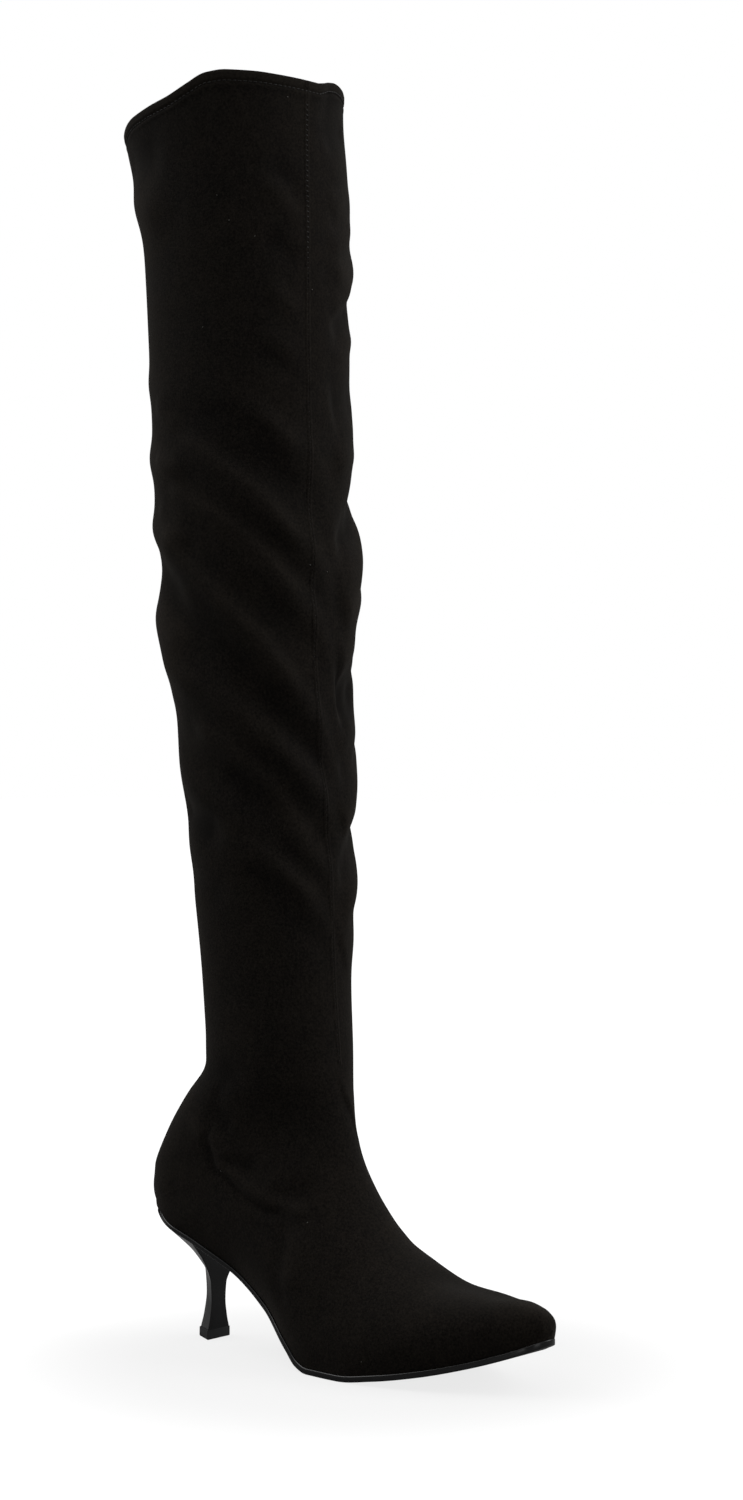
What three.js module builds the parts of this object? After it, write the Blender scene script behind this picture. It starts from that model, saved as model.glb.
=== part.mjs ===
// Over-the-knee boot of black stretch microsuede for the right foot, with a pointed toe and a flared heel.
// Millimetres. +X runs from heel to toe, +Y to the inner side of the foot, and +Z up.
// The origin is on the floor, at the middle of the heel tip's flat underside.
// A station is one section of the upper, from its top line down both sides to its base.
// Stations are level on the leg, and fan round the heel until they stand upright at the toe.

import * as THREE from "three";

// Foot
const FOOT_LENGTH = 251; // back of the counter to the tip of the upper, along the floor
const BALL_WIDTH = 78;
const SEAT_WIDTH = 55;
const HEEL_HEIGHT = 71; // floor to the upper's edge at the back of the seat
const TOE_SPRING = 28; // floor to the upper's edge at the toe tip
const SEAT_INSET = 3; // from the back of the counter to the back of the seat
const TOE_DEPTH = 4.5; // the upper's wall at the very tip

// Leg
const ANKLE_RISE = 76; // back of the seat to the narrowest part of the ankle
const ANKLE_DEPTH = 80;
const ANKLE_WIDTH = 66;
const ANKLE_OFFSET = 79; // from the back of the counter
const LEG_HEIGHT = 502; // narrowest part of the ankle to the collar's front
const COLLAR_DEPTH = 116;
const COLLAR_WIDTH = 110;
const COLLAR_LEAN = 32; // the collar's middle lies this far behind the ankle's
const COLLAR_DIP = 21; // the collar's edge is lower at the back by this
const DIP_REACH = 70; // the dip has died out this far below the collar
const FOLD_HEIGHT = 3; // tallest soft fold of the leg
const FOLD_WIDTH = 11; // from a fold's ridge to where it has mostly died out

// Thicknesses and clearance
const WALL = 1.6;
const SOLE_THICKNESS = 3; // at the forefoot
const WAIST_THICKNESS = 2.2; // at the waist and the seat
const SOLE_EDGE = 1.2; // the sole stands out beyond the upper by this
const INSOLE_THICKNESS = 1.8;
const GAP = 0.3; // between pieces that meet
const INSOLE_GAP = 0.5; // round the insole, inside the upper

// Heel
const TIP_LENGTH = 10.5; // heel tip, front to back
const TIP_WIDTH = 16.7;
const TIP_BACK_WIDTH = 5;
const TIP_THICKNESS = 5;
const TIP_OFFSET = 30; // from the back of the counter to the middle of the heel tip
const BREAST_DEPTH = 42.5; // from the back of the counter to the top of the heel's front face
const HEEL_INSET = 0.5; // the heel's top lies this far inside the sole's edge

// Finish: colour, roughness
const FINISH = {
  upper: [0x17130f, 0.95],
  insole: [0x1d1a18, 0.8],
  outsole: [0x0d0c0d, 0.35],
  heel: [0x0a090a, 0.12],
  heel_tip: [0x121112, 0.6],
};

// Sides of the foot, along Y
const OUTER = -1;
const INNER = 1;

// Height of the upper's edge over the floor, as shares of the heel height and the toe spring
const SOLE_LINE = [
  { along: 0.0, heel: 1.0, spring: 0 },
  { along: 0.05, heel: 0.965, spring: 0 },
  { along: 0.1, heel: 0.88, spring: 0 },
  { along: 0.17, heel: 0.775, spring: 0 },
  { along: 0.26, heel: 0.61, spring: 0 },
  { along: 0.315, heel: 0.49, spring: 0 },
  { along: 0.365, heel: 0.365, spring: 0 },
  { along: 0.41, heel: 0.24, spring: 0 },
  { along: 0.45, heel: 0.125, spring: 0 },
  { along: 0.485, heel: 0.03, spring: 0 },
  { along: 0.515, heel: 0, spring: 0 },
  { along: 0.6, heel: 0, spring: 0 },
  { along: 0.68, heel: 0, spring: 0.115 },
  { along: 0.78, heel: 0, spring: 0.335 },
  { along: 0.86, heel: 0, spring: 0.55 },
  { along: 0.93, heel: 0, spring: 0.76 },
  { along: 1.0, heel: 0, spring: 1 },
];

// Upper's edge seen from above between the seat and the toe tip, as shares of half the ball's width
const OUTLINE = [
  {
    along: (SEAT_INSET + SEAT_WIDTH / 2) / FOOT_LENGTH,
    outer: SEAT_WIDTH / BALL_WIDTH,
    inner: SEAT_WIDTH / BALL_WIDTH,
  },
  { along: 0.2, outer: 0.66, inner: 0.64 },
  { along: 0.28, outer: 0.59, inner: 0.5 },
  { along: 0.36, outer: 0.64, inner: 0.47 },
  { along: 0.44, outer: 0.82, inner: 0.6 },
  { along: 0.52, outer: 0.95, inner: 0.78 },
  { along: 0.61, outer: 1.0, inner: 0.92 },
  { along: 0.69, outer: 0.95, inner: 0.98 },
  { along: 0.78, outer: 0.79, inner: 0.87 },
  { along: 0.86, outer: 0.56, inner: 0.64 },
  { along: 0.93, outer: 0.34, inner: 0.4 },
  { along: 0.97, outer: 0.2, inner: 0.22 },
];

// Stations from the ankle to the toe tip. base says where the section ends, as a share of the way from
// the seat's back to the toe tip, and up how high on the counter, as a share of the ankle's rise. top says
// where it starts, as a share of the foot's length, and over how high over the sole, as a share of the
// ankle's height. outer and inner are the greatest half widths, as shares of half the ball's width. level
// is where they lie on the section, and high and low are how full it is above and below that.
const FAN = [
  { base: 0.145, up: 1, top: 0.474, over: 0.96, outer: 0.846, inner: 0.846, level: 0.5, high: 2.1, low: 2.1 },
  { base: 0.094, up: 0.81, top: 0.477, over: 0.92, outer: 0.84, inner: 0.84, level: 0.48, high: 2.08, low: 2.1 },
  { base: 0.028, up: 0.5, top: 0.481, over: 0.88, outer: 0.81, inner: 0.81, level: 0.45, high: 2.05, low: 2.25 },
  { base: -0.01, up: 0.22, top: 0.485, over: 0.845, outer: 0.8, inner: 0.8, level: 0.43, high: 2.02, low: 2.4 },
  { base: -0.012, up: 0.1, top: 0.489, over: 0.82, outer: 0.79, inner: 0.79, level: 0.42, high: 2, low: 2.4 },
  { base: 0, up: 0, top: 0.493, over: 0.797, outer: 0.79, inner: 0.79, level: 0.41, high: 2, low: 2.35 },
  { base: 0.005, up: 0, top: 0.4943, over: 0.79, outer: 0.79, inner: 0.79, level: 0.41, high: 2, low: 2.32 },
  { base: 0.018, up: 0, top: 0.496, over: 0.78, outer: 0.79, inner: 0.79, level: 0.4, high: 2, low: 2.28 },
  { base: 0.045, up: 0, top: 0.4985, over: 0.764, outer: 0.79, inner: 0.79, level: 0.4, high: 2, low: 2.2 },
  { base: 0.085, up: 0, top: 0.502, over: 0.744, outer: 0.79, inner: 0.79, level: 0.4, high: 2, low: 2.1 },
  { base: 0.15, up: 0, top: 0.508, over: 0.71, outer: 0.81, inner: 0.79, level: 0.4, high: 1.95, low: 2 },
  { base: 0.241, up: 0, top: 0.522, over: 0.65, outer: 0.84, inner: 0.8, level: 0.38, high: 1.9, low: 1.95 },
  { base: 0.333, up: 0, top: 0.548, over: 0.572, outer: 0.9, inner: 0.82, level: 0.34, high: 1.9, low: 1.9 },
  { base: 0.415, up: 0, top: 0.589, over: 0.482, outer: 0.97, inner: 0.87, level: 0.3, high: 1.9, low: 1.85 },
  { base: 0.446, up: 0, top: 0.609, over: 0.449, outer: 0.99, inner: 0.895, level: 0.29, high: 1.9, low: 1.8 },
  { base: 0.475, up: 0, top: 0.63, over: 0.416, outer: 1.005, inner: 0.92, level: 0.28, high: 1.9, low: 1.8 },
  { base: 0.53, up: 0, top: 0.665, over: 0.372, outer: 1.02, inner: 0.96, level: 0.28, high: 1.9, low: 1.8 },
  { base: 0.6, up: 0, top: 0.709, over: 0.322, outer: 1.03, inner: 1, level: 0.27, high: 1.95, low: 1.8 },
  { base: 0.676, up: 0, top: 0.761, over: 0.264, outer: 0.99, inner: 1.01, level: 0.27, high: 2, low: 1.8 },
  { base: 0.777, up: 0, top: 0.832, over: 0.212, outer: 0.83, inner: 0.91, level: 0.3, high: 2.1, low: 1.8 },
  { base: 0.868, up: 0, top: 0.9, over: 0.168, outer: 0.58, inner: 0.66, level: 0.32, high: 2.2, low: 1.8 },
  { base: 0.939, up: 0, top: 0.95, over: 0.128, outer: 0.34, inner: 0.4, level: 0.34, high: 2.2, low: 1.8 },
  { base: 0.977, up: 0, top: 0.979, over: 0.095, outer: 0.205, inner: 0.23, level: 0.36, high: 2.2, low: 1.8 },
  { base: 0.994, up: 0, top: 0.994, over: 0.06, outer: 0.13, inner: 0.14, level: 0.4, high: 2.1, low: 1.9 },
  { base: 1, up: 0, top: 1, over: 0, outer: 0, inner: 0, level: 0.5, high: 2, low: 2 },
];
const SEAT_ROW = 5; // the row whose base is the back of the seat, where the upper's opening begins

// Leg from the ankle to the collar. up is a share of its height. depth, width and lean are shares of the
// change from the ankle to the collar.
const LEG = [
  { up: 0.0, depth: 0.0, width: 0.0, lean: 0.0 },
  { up: 0.08, depth: 0.03, width: 0.03, lean: 0.08 },
  { up: 0.2, depth: 0.2, width: 0.2, lean: 0.18 },
  { up: 0.36, depth: 0.45, width: 0.44, lean: 0.36 },
  { up: 0.52, depth: 0.66, width: 0.66, lean: 0.52 },
  { up: 0.7, depth: 0.7, width: 0.72, lean: 0.66 },
  { up: 0.86, depth: 0.78, width: 0.82, lean: 0.76 },
  { up: 1.0, depth: 1.0, width: 1.0, lean: 1.0 },
];

// Collar's drop round the leg, from the front (turn 0) to the back (turn 1), as shares of its dip
const COLLAR_EDGE = [
  { turn: 0.0, drop: 0.0 },
  { turn: 0.3, drop: 0.0 },
  { turn: 0.36, drop: 0.08 },
  { turn: 0.42, drop: 0.32 },
  { turn: 0.49, drop: 0.55 },
  { turn: 0.56, drop: 0.65 },
  { turn: 0.64, drop: 0.74 },
  { turn: 0.76, drop: 0.94 },
  { turn: 0.85, drop: 1.0 },
  { turn: 1.0, drop: 1.0 },
];

// Folds of the leg. Each climbs from the front seam towards the back, dies out at its reach, and is a
// ridge or, with a rise below 0, a trough. front and back are heights on the leg, as shares of it.
const FOLDS = [
  { side: OUTER, front: 0.6, back: 0.7, reach: 0.48, rise: 0.4 },
  { side: OUTER, front: 0.55, back: 0.68, reach: 0.65, rise: -0.5 },
  { side: OUTER, front: 0.495, back: 0.665, reach: 0.8, rise: 0.75 },
  { side: OUTER, front: 0.465, back: 0.645, reach: 0.75, rise: -0.5 },
  { side: OUTER, front: 0.43, back: 0.61, reach: 0.8, rise: 0.6 },
  { side: OUTER, front: 0.4, back: 0.575, reach: 0.7, rise: -0.4 },
  { side: OUTER, front: 0.325, back: 0.6, reach: 0.85, rise: 0.7 },
  { side: OUTER, front: 0.28, back: 0.545, reach: 0.85, rise: -0.9 },
  { side: OUTER, front: 0.27, back: 0.475, reach: 0.95, rise: 0.9 },
  { side: OUTER, front: 0.225, back: 0.36, reach: 0.9, rise: -0.9 },
  { side: OUTER, front: 0.195, back: 0.32, reach: 0.85, rise: 0.55 },
  { side: OUTER, front: 0.165, back: 0.3, reach: 0.6, rise: -0.5 },
  { side: OUTER, front: 0.14, back: 0.25, reach: 0.6, rise: 0.4 },
  { side: OUTER, front: 0.115, back: 0.21, reach: 0.55, rise: -0.35 },
  { side: INNER, front: 0.74, back: 0.86, reach: 0.55, rise: -0.6 },
  { side: INNER, front: 0.605, back: 0.75, reach: 0.6, rise: 0.5 },
  { side: INNER, front: 0.53, back: 0.7, reach: 0.75, rise: -0.9 },
  { side: INNER, front: 0.475, back: 0.65, reach: 0.8, rise: 1.0 },
  { side: INNER, front: 0.365, back: 0.55, reach: 0.7, rise: -0.6 },
  { side: INNER, front: 0.32, back: 0.5, reach: 0.8, rise: 0.4 },
  { side: INNER, front: 0.255, back: 0.42, reach: 0.75, rise: 0.45 },
  { side: INNER, front: 0.205, back: 0.35, reach: 0.7, rise: -0.5 },
  { side: INNER, front: 0.15, back: 0.28, reach: 0.65, rise: 0.6 },
];
const FOLD_START = 0.09; // share of the way round over which a fold grows out of the seam
const FOLD_END = 0.3; // and over which it dies out

// Heel from its tip up to the seat. up is a share of its height, size a share of the tip's section, held
// at the front face, and flare the share of the way out from that section to the seat's outline.
const HEEL = [
  { up: 0.0, size: 0.92, flare: 0.0 },
  { up: 0.12, size: 0.75, flare: 0.0 },
  { up: 0.3, size: 0.62, flare: 0.0 },
  { up: 0.48, size: 0.61, flare: 0.012 },
  { up: 0.6, size: 0.62, flare: 0.1 },
  { up: 0.7, size: 0.63, flare: 0.26 },
  { up: 0.8, size: 0.64, flare: 0.48 },
  { up: 0.9, size: 0.65, flare: 0.73 },
  { up: 1.0, size: 0.66, flare: 1.0 },
];

// Mesh
const LEG_STEPS = 44;
const FAN_STEPS = 2; // between two rows of the fan
const SIDE_STEPS = 13; // from the top line to the base, on one side
const SEAT_STEPS = 6; // round the seat, on one side of the sole
const SOLE_STEPS = 38; // from the seat to the toe tip
const TIP_STEPS = 5; // round the toe tip, on one side
const HEEL_STEPS = 9; // round the heel, on one side

const ANKLE_HEIGHT = HEEL_HEIGHT + ANKLE_RISE;
const HALF_BALL = BALL_WIDTH / 2;

const clamp01 = (value) => Math.min(1, Math.max(0, value));
const mix = (a, b, share) => a + (b - a) * share;
const ease = (share) => clamp01(share) ** 2 * (3 - 2 * clamp01(share));

// Smooth curve through one column of a table, without overshoot. With no key, the rows are one apart.
function follow(rows, column, value, key) {
  const place = (i) => (key ? rows[i][key] : i);
  const step = (i) => (rows[i + 1][column] - rows[i][column]) / (place(i + 1) - place(i));
  const slope = (i) => {
    if (i === 0) return step(0);
    if (i === rows.length - 1) return step(i - 1);
    const [before, after] = [step(i - 1), step(i)];
    return before * after <= 0 ? 0 : (2 * before * after) / (before + after);
  };
  let i = 0;
  while (i < rows.length - 2 && value > place(i + 1)) i += 1;
  const span = place(i + 1) - place(i);
  const t = clamp01((value - place(i)) / span);
  return (
    (1 + 2 * t) * (1 - t) ** 2 * rows[i][column] +
    t * (1 - t) ** 2 * span * slope(i) +
    t * t * (3 - 2 * t) * rows[i + 1][column] +
    t * t * (t - 1) * span * slope(i + 1)
  );
}

// Height over the floor of the sole's upper face
function soleTop(along) {
  const share = clamp01(along / FOOT_LENGTH);
  const heel = follow(SOLE_LINE, "heel", share, "along");
  const spring = follow(SOLE_LINE, "spring", share, "along");
  return SOLE_THICKNESS + heel * (HEEL_HEIGHT - SOLE_THICKNESS) + spring * (TOE_SPRING - SOLE_THICKNESS);
}

// Half width of the upper's edge: a round seat, the table, and a round tip
function edgeHalfWidth(along, side) {
  const seat = SEAT_WIDTH / 2;
  const fromBack = along - SEAT_INSET;
  const fromTip = FOOT_LENGTH - along;
  const column = side === OUTER ? "outer" : "inner";
  if (fromBack <= 0 || fromTip <= 0) return 0;
  if (fromBack < seat) return Math.sqrt(seat ** 2 - (seat - fromBack) ** 2);
  const share = along / FOOT_LENGTH;
  const drawn = follow(OUTLINE, column, share, "along") * HALF_BALL;
  const rows = OUTLINE.length;
  const lastShare = OUTLINE[rows - 1].along;
  if (share <= lastShare) return drawn;
  const reach = clamp01(1 - fromTip / (FOOT_LENGTH * (1 - lastShare)));
  return OUTLINE[rows - 1][column] * HALF_BALL * Math.sqrt(1 - reach ** 2);
}

// One section as points from the top line (turn 0) down one side to the base (turn 1)
function sectionPoint(frame, side, turn) {
  const angle = turn * Math.PI;
  const upper = turn <= 0.5;
  const widest = side === OUTER ? frame.outer : frame.inner;
  const edge = side === OUTER ? frame.edgeOuter : frame.edgeInner;
  const power = 2 / (upper ? frame.high : frame.low);
  const across = Math.sin(angle) ** power;
  const up = Math.abs(Math.cos(angle)) ** power;
  const half = upper ? widest * across : Math.sqrt(edge ** 2 + (widest ** 2 - edge ** 2) * across ** 2);
  const share = upper ? mix(frame.level, 1, up) : frame.level * (1 - up);
  return new THREE.Vector3(
    mix(frame.base.x, frame.top.x, share),
    side * half,
    mix(frame.base.y, frame.top.y, share),
  );
}

// Section of the leg at a share of its height over the ankle
function legFrame(up) {
  const depth = mix(ANKLE_DEPTH, COLLAR_DEPTH, follow(LEG, "depth", up, "up"));
  const width = mix(ANKLE_WIDTH, COLLAR_WIDTH, follow(LEG, "width", up, "up"));
  const middle = ANKLE_OFFSET - COLLAR_LEAN * follow(LEG, "lean", up, "up");
  const height = ANKLE_HEIGHT + up * LEG_HEIGHT;
  return {
    base: new THREE.Vector2(middle - depth / 2, height),
    top: new THREE.Vector2(middle + depth / 2, height),
    outer: width / 2,
    inner: width / 2,
    edgeOuter: 0,
    edgeInner: 0,
    level: 0.5,
    high: FAN[0].high,
    low: FAN[0].low,
  };
}

// Section of the foot at a place in the fan's table, where 0 is the ankle
function fanFrame(row) {
  const value = (column) => follow(FAN, column, row);
  const base = mix(SEAT_INSET, FOOT_LENGTH, value("base"));
  const top = value("top") * FOOT_LENGTH;
  const onSole = row >= SEAT_ROW;
  const seatUp = soleTop(base) + GAP;
  const counterUp = mix(soleTop(SEAT_INSET) + GAP, ANKLE_HEIGHT, value("up"));
  const tipDepth = TOE_DEPTH * ease(row - (FAN.length - 4));
  const topUp = soleTop(top) + value("over") * ANKLE_HEIGHT;
  const floorUp = soleTop(base) + GAP + tipDepth;
  return {
    base: new THREE.Vector2(base, onSole ? seatUp : counterUp),
    top: new THREE.Vector2(top, Math.max(topUp, floorUp)),
    outer: value("outer") * HALF_BALL,
    inner: value("inner") * HALF_BALL,
    edgeOuter: onSole ? edgeHalfWidth(base, OUTER) : 0,
    edgeInner: onSole ? edgeHalfWidth(base, INNER) : 0,
    level: value("level"),
    high: value("high"),
    low: value("low"),
  };
}

// Every station of the upper, from the collar to the toe tip
function upperStations() {
  const stations = [];
  for (let i = 0; i < LEG_STEPS; i += 1) {
    const up = 1 - i / LEG_STEPS;
    stations.push({ frame: legFrame(up), up });
  }
  const last = (FAN.length - 1) * FAN_STEPS;
  for (let i = 0; i <= last; i += 1) {
    stations.push({ frame: fanFrame(i / FAN_STEPS), up: 0, row: i / FAN_STEPS });
  }
  return stations;
}

// Collar's dip at the back, dying out down the leg
function collarDip(up, turn) {
  const below = (1 - up) * LEG_HEIGHT;
  return COLLAR_DIP * follow(COLLAR_EDGE, "drop", turn, "turn") * ease(1 - below / DIP_REACH);
}

// How far the leg's folds stand out at a place
function foldRise(side, turn, up) {
  let rise = 0;
  for (const fold of FOLDS.filter((row) => row.side === side)) {
    const middle = mix(fold.front, fold.back, turn / fold.reach);
    const across = ((up - middle) * LEG_HEIGHT) / FOLD_WIDTH;
    const fade = ease(turn / FOLD_START) * ease((fold.reach - turn) / FOLD_END);
    rise += fold.rise * fade * Math.exp(-across * across);
  }
  return rise * FOLD_HEIGHT;
}

// Point of the leg with its folds and the collar's dip
function legPoint(frame, side, turn, up) {
  const point = sectionPoint(frame, side, turn);
  const middle = (frame.top.x + frame.base.x) / 2;
  const depth = (frame.top.x - frame.base.x) / 2;
  const outward = new THREE.Vector3((point.x - middle) / depth ** 2, point.y / frame.outer ** 2, 0);
  point.addScaledVector(outward.normalize(), foldRise(side, turn, up));
  point.z -= collarDip(up, turn);
  return point;
}

// Grid of the upper's outer face. Both sides share the top line, the counter's back and the toe tip.
function upperGrid() {
  const stations = upperStations();
  const points = [];
  const rows = stations.map(({ frame, up, row }, k) => {
    const tip = k === stations.length - 1;
    const closed = row === undefined || row <= SEAT_ROW;
    const sides = { [OUTER]: [], [INNER]: [] };
    for (const side of [OUTER, INNER]) {
      for (let j = 0; j <= SIDE_STEPS; j += 1) {
        const turn = j / SIDE_STEPS;
        const shared = side === INNER && (tip || j === 0 || (closed && j === SIDE_STEPS));
        if (shared) {
          sides[INNER].push(sides[OUTER][j]);
          continue;
        }
        sides[side].push(points.length);
        points.push(up ? legPoint(frame, side, turn, up) : sectionPoint(frame, side, turn));
      }
    }
    return { sides, row };
  });
  const faces = [];
  for (let k = 0; k < rows.length - 1; k += 1) {
    for (const side of [OUTER, INNER]) {
      const [here, next] = [rows[k].sides[side], rows[k + 1].sides[side]];
      for (let j = 0; j < SIDE_STEPS; j += 1) {
        const [a, b, c, d] = [here[j], next[j], next[j + 1], here[j + 1]];
        if (side === OUTER) faces.push([a, d, b], [b, d, c]);
        else faces.push([a, b, d], [b, c, d]);
      }
    }
  }
  return { points, rows, faces: faces.filter(([a, b, c]) => a !== b && b !== c && a !== c) };
}

function normalsOf(points, faces) {
  const geometry = meshGeometry(points, faces);
  geometry.computeVertexNormals();
  const attribute = geometry.getAttribute("normal");
  return points.map((_, i) => new THREE.Vector3().fromBufferAttribute(attribute, i));
}

function meshGeometry(points, faces) {
  const geometry = new THREE.BufferGeometry();
  const numbers = points.flatMap((p) => [p.x - TIP_OFFSET, p.y, p.z]);
  geometry.setAttribute("position", new THREE.Float32BufferAttribute(numbers, 3));
  geometry.setIndex(faces.flat());
  return geometry;
}

// Upper: the outer face, the same face set in by the wall, and the two rims between them
function upperGeometry() {
  const { points, rows, faces } = upperGrid();
  const normals = normalsOf(points, faces);
  const count = points.length;
  const collar = new Set(Object.values(rows[0].sides).flat());
  const tip = new Set(rows[rows.length - 1].sides[OUTER]);
  const seatStart = rows.findIndex(({ row }) => row === SEAT_ROW);
  const edge = new Set();
  for (const { sides } of rows.slice(seatStart)) {
    edge.add(sides[OUTER][SIDE_STEPS]);
    edge.add(sides[INNER][SIDE_STEPS]);
  }
  const inner = points.map((point, i) => {
    const normal = normals[i].clone();
    if (collar.has(i) || edge.has(i)) normal.setZ(0).normalize();
    if (tip.has(i)) normal.set(1, 0, 0);
    const moved = point.clone().addScaledVector(normal, -WALL);
    if (edge.has(i)) moved.z = soleTop(moved.x) + GAP;
    return moved;
  });
  const rims = [];
  const bridge = (a, b) => rims.push([a, b, a + count], [b, b + count, a + count]);
  for (let j = 0; j < SIDE_STEPS; j += 1) {
    bridge(rows[0].sides[OUTER][j + 1], rows[0].sides[OUTER][j]);
    bridge(rows[0].sides[INNER][j], rows[0].sides[INNER][j + 1]);
  }
  for (let k = seatStart; k < rows.length - 1; k += 1) {
    bridge(rows[k + 1].sides[OUTER][SIDE_STEPS], rows[k].sides[OUTER][SIDE_STEPS]);
    bridge(rows[k].sides[INNER][SIDE_STEPS], rows[k + 1].sides[INNER][SIDE_STEPS]);
  }
  const inside = faces.map(([a, b, c]) => [a + count, c + count, b + count]);
  return meshGeometry([...points, ...inner], [...faces, ...inside, ...rims]);
}

// Sole outline as shares of the way along, from the back of the seat to the toe tip
function outlineStations() {
  const stations = [];
  const seat = SEAT_WIDTH / 2;
  const tipStart = OUTLINE[OUTLINE.length - 1].along * FOOT_LENGTH;
  for (let i = 0; i < SEAT_STEPS; i += 1) {
    stations.push(SEAT_INSET + seat * (1 - Math.cos((i / SEAT_STEPS) * (Math.PI / 2))));
  }
  for (let i = 0; i < SOLE_STEPS; i += 1) {
    stations.push(mix(SEAT_INSET + seat, tipStart, i / SOLE_STEPS));
  }
  for (let i = 0; i <= TIP_STEPS; i += 1) {
    stations.push(mix(tipStart, FOOT_LENGTH, Math.sin((i / TIP_STEPS) * (Math.PI / 2))));
  }
  return stations;
}

// Closed outline in plan, grown or shrunk along its own normal
function outline(grow) {
  const stations = outlineStations();
  const edgePoint = (along, which) => new THREE.Vector2(along, which * edgeHalfWidth(along, which));
  const side = (which) => stations.map((along) => edgePoint(along, which));
  const outer = side(OUTER);
  const inner = side(INNER).slice(1, -1).reverse();
  const loop = [...outer, ...inner];
  return loop.map((point, i) => {
    const before = loop[(i + loop.length - 1) % loop.length];
    const after = loop[(i + 1) % loop.length];
    const along = after.clone().sub(before).normalize();
    return new THREE.Vector2(point.x + along.y * grow, point.y - along.x * grow);
  });
}

// Solid between loops of points, listed from the lowest up. A loop starts at the back, goes round by the
// outer side to the front point and comes back by the inner side, with as many points on both.
function stack(loops) {
  const size = loops[0].length;
  const half = size / 2;
  const faces = [];
  for (let k = 0; k < loops.length - 1; k += 1) {
    for (let i = 0; i < size; i += 1) {
      const [a, b] = [k * size + i, k * size + ((i + 1) % size)];
      faces.push([a, b, b + size], [a, b + size, a + size]);
    }
  }
  const high = (loops.length - 1) * size;
  const cap = (i, j, k) => faces.push([i, k, j], [high + i, high + j, high + k]);
  cap(0, 1, size - 1);
  for (let i = 1; i < half - 1; i += 1) {
    cap(i, i + 1, size - i);
    cap(i + 1, size - i - 1, size - i);
  }
  cap(half - 1, half, half + 1);
  return meshGeometry(loops.flat(), faces);
}

const lift = (loop, height) => loop.map(({ x, y }) => new THREE.Vector3(x, y, height(x)));

// Thickness measured straight down, so that the plate keeps its own thickness on the slope
function soleBottom(along) {
  const reach = 1;
  const slope = (soleTop(along + reach) - soleTop(along - reach)) / (2 * reach);
  const waist = SOLE_LINE.find(({ heel }) => heel < 0.1).along * FOOT_LENGTH;
  const thickness = mix(WAIST_THICKNESS, SOLE_THICKNESS, ease((along - waist + SEAT_WIDTH) / SEAT_WIDTH));
  return Math.max(0, soleTop(along) - thickness * Math.hypot(1, slope));
}

function outsoleGeometry() {
  const loop = outline(SOLE_EDGE);
  return stack([lift(loop, soleBottom), lift(loop, soleTop)]);
}

function insoleGeometry() {
  const loop = outline(-WALL - INSOLE_GAP);
  const under = (along) => soleTop(along) + GAP;
  return stack([lift(loop, under), lift(loop, (along) => under(along) + INSOLE_THICKNESS)]);
}

// Loop on the heel: size and flare as in its table, height a function of the seat's point above
function heelLoop(size, flare, height) {
  const backShare = 0.3;
  const seatShrink = (SEAT_WIDTH / 2 + SOLE_EDGE - HEEL_INSET) / (SEAT_WIDTH / 2);
  const front = TIP_OFFSET + TIP_LENGTH / 2;
  const at = (turn, side) => {
    const seatAlong = mix(SEAT_INSET, BREAST_DEPTH, 1 - Math.cos((turn * Math.PI) / 2));
    const seatHalf = edgeHalfWidth(seatAlong, side) * seatShrink;
    const along = Math.max(0, turn - backShare) / (1 - backShare);
    const tipHalf = turn < backShare
      ? (TIP_BACK_WIDTH / 2) * (turn / backShare)
      : mix(TIP_BACK_WIDTH, TIP_WIDTH, along) / 2;
    const tipAlong = front - TIP_LENGTH * size * (1 - along);
    const backWards = (SOLE_EDGE - HEEL_INSET) * (1 - turn);
    return new THREE.Vector3(
      mix(tipAlong, seatAlong - backWards, flare),
      side * mix(tipHalf * size, seatHalf, flare),
      height(seatAlong - backWards),
    );
  };
  const steps = Array.from({ length: HEEL_STEPS }, (_, i) => (i + 1) / HEEL_STEPS);
  const outer = steps.map((turn) => at(turn, OUTER));
  const inner = steps.map((turn) => at(turn, INNER)).reverse();
  const breast = outer[outer.length - 1].clone();
  breast.y = 0;
  return [at(0, OUTER), ...outer, breast, ...inner];
}

function heelGeometry() {
  const bottom = TIP_THICKNESS + GAP;
  return stack(HEEL.map(({ up, size, flare }) => {
    const height = (along) => mix(bottom, soleBottom(along) - GAP, up);
    return heelLoop(size, flare, height);
  }));
}

function heelTipGeometry() {
  return stack([heelLoop(1, 0, () => 0), heelLoop(0.96, 0, () => TIP_THICKNESS)]);
}

function piece(name, geometry) {
  const [color, roughness] = FINISH[name];
  const mesh = new THREE.Mesh(geometry, new THREE.MeshStandardMaterial({ color, roughness, metalness: 0 }));
  mesh.name = name;
  geometry.computeVertexNormals();
  return mesh;
}

const boot = new THREE.Group();
boot.add(piece("upper", upperGeometry()));
boot.add(piece("insole", insoleGeometry()));
boot.add(piece("outsole", outsoleGeometry()));
boot.add(piece("heel", heelGeometry()));
boot.add(piece("heel_tip", heelTipGeometry()));

export default boot;
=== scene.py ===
"""Over-the-knee boot of black stretch microsuede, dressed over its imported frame.

Laid out as an add-on and run as a script. Shapes are worked out in millimetres and built in metres.
"""

import math

import bmesh
import bpy
import numpy as np
from bpy.props import FloatProperty, FloatVectorProperty, IntProperty, PointerProperty
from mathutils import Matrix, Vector
from mathutils.bvhtree import BVHTree


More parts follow.
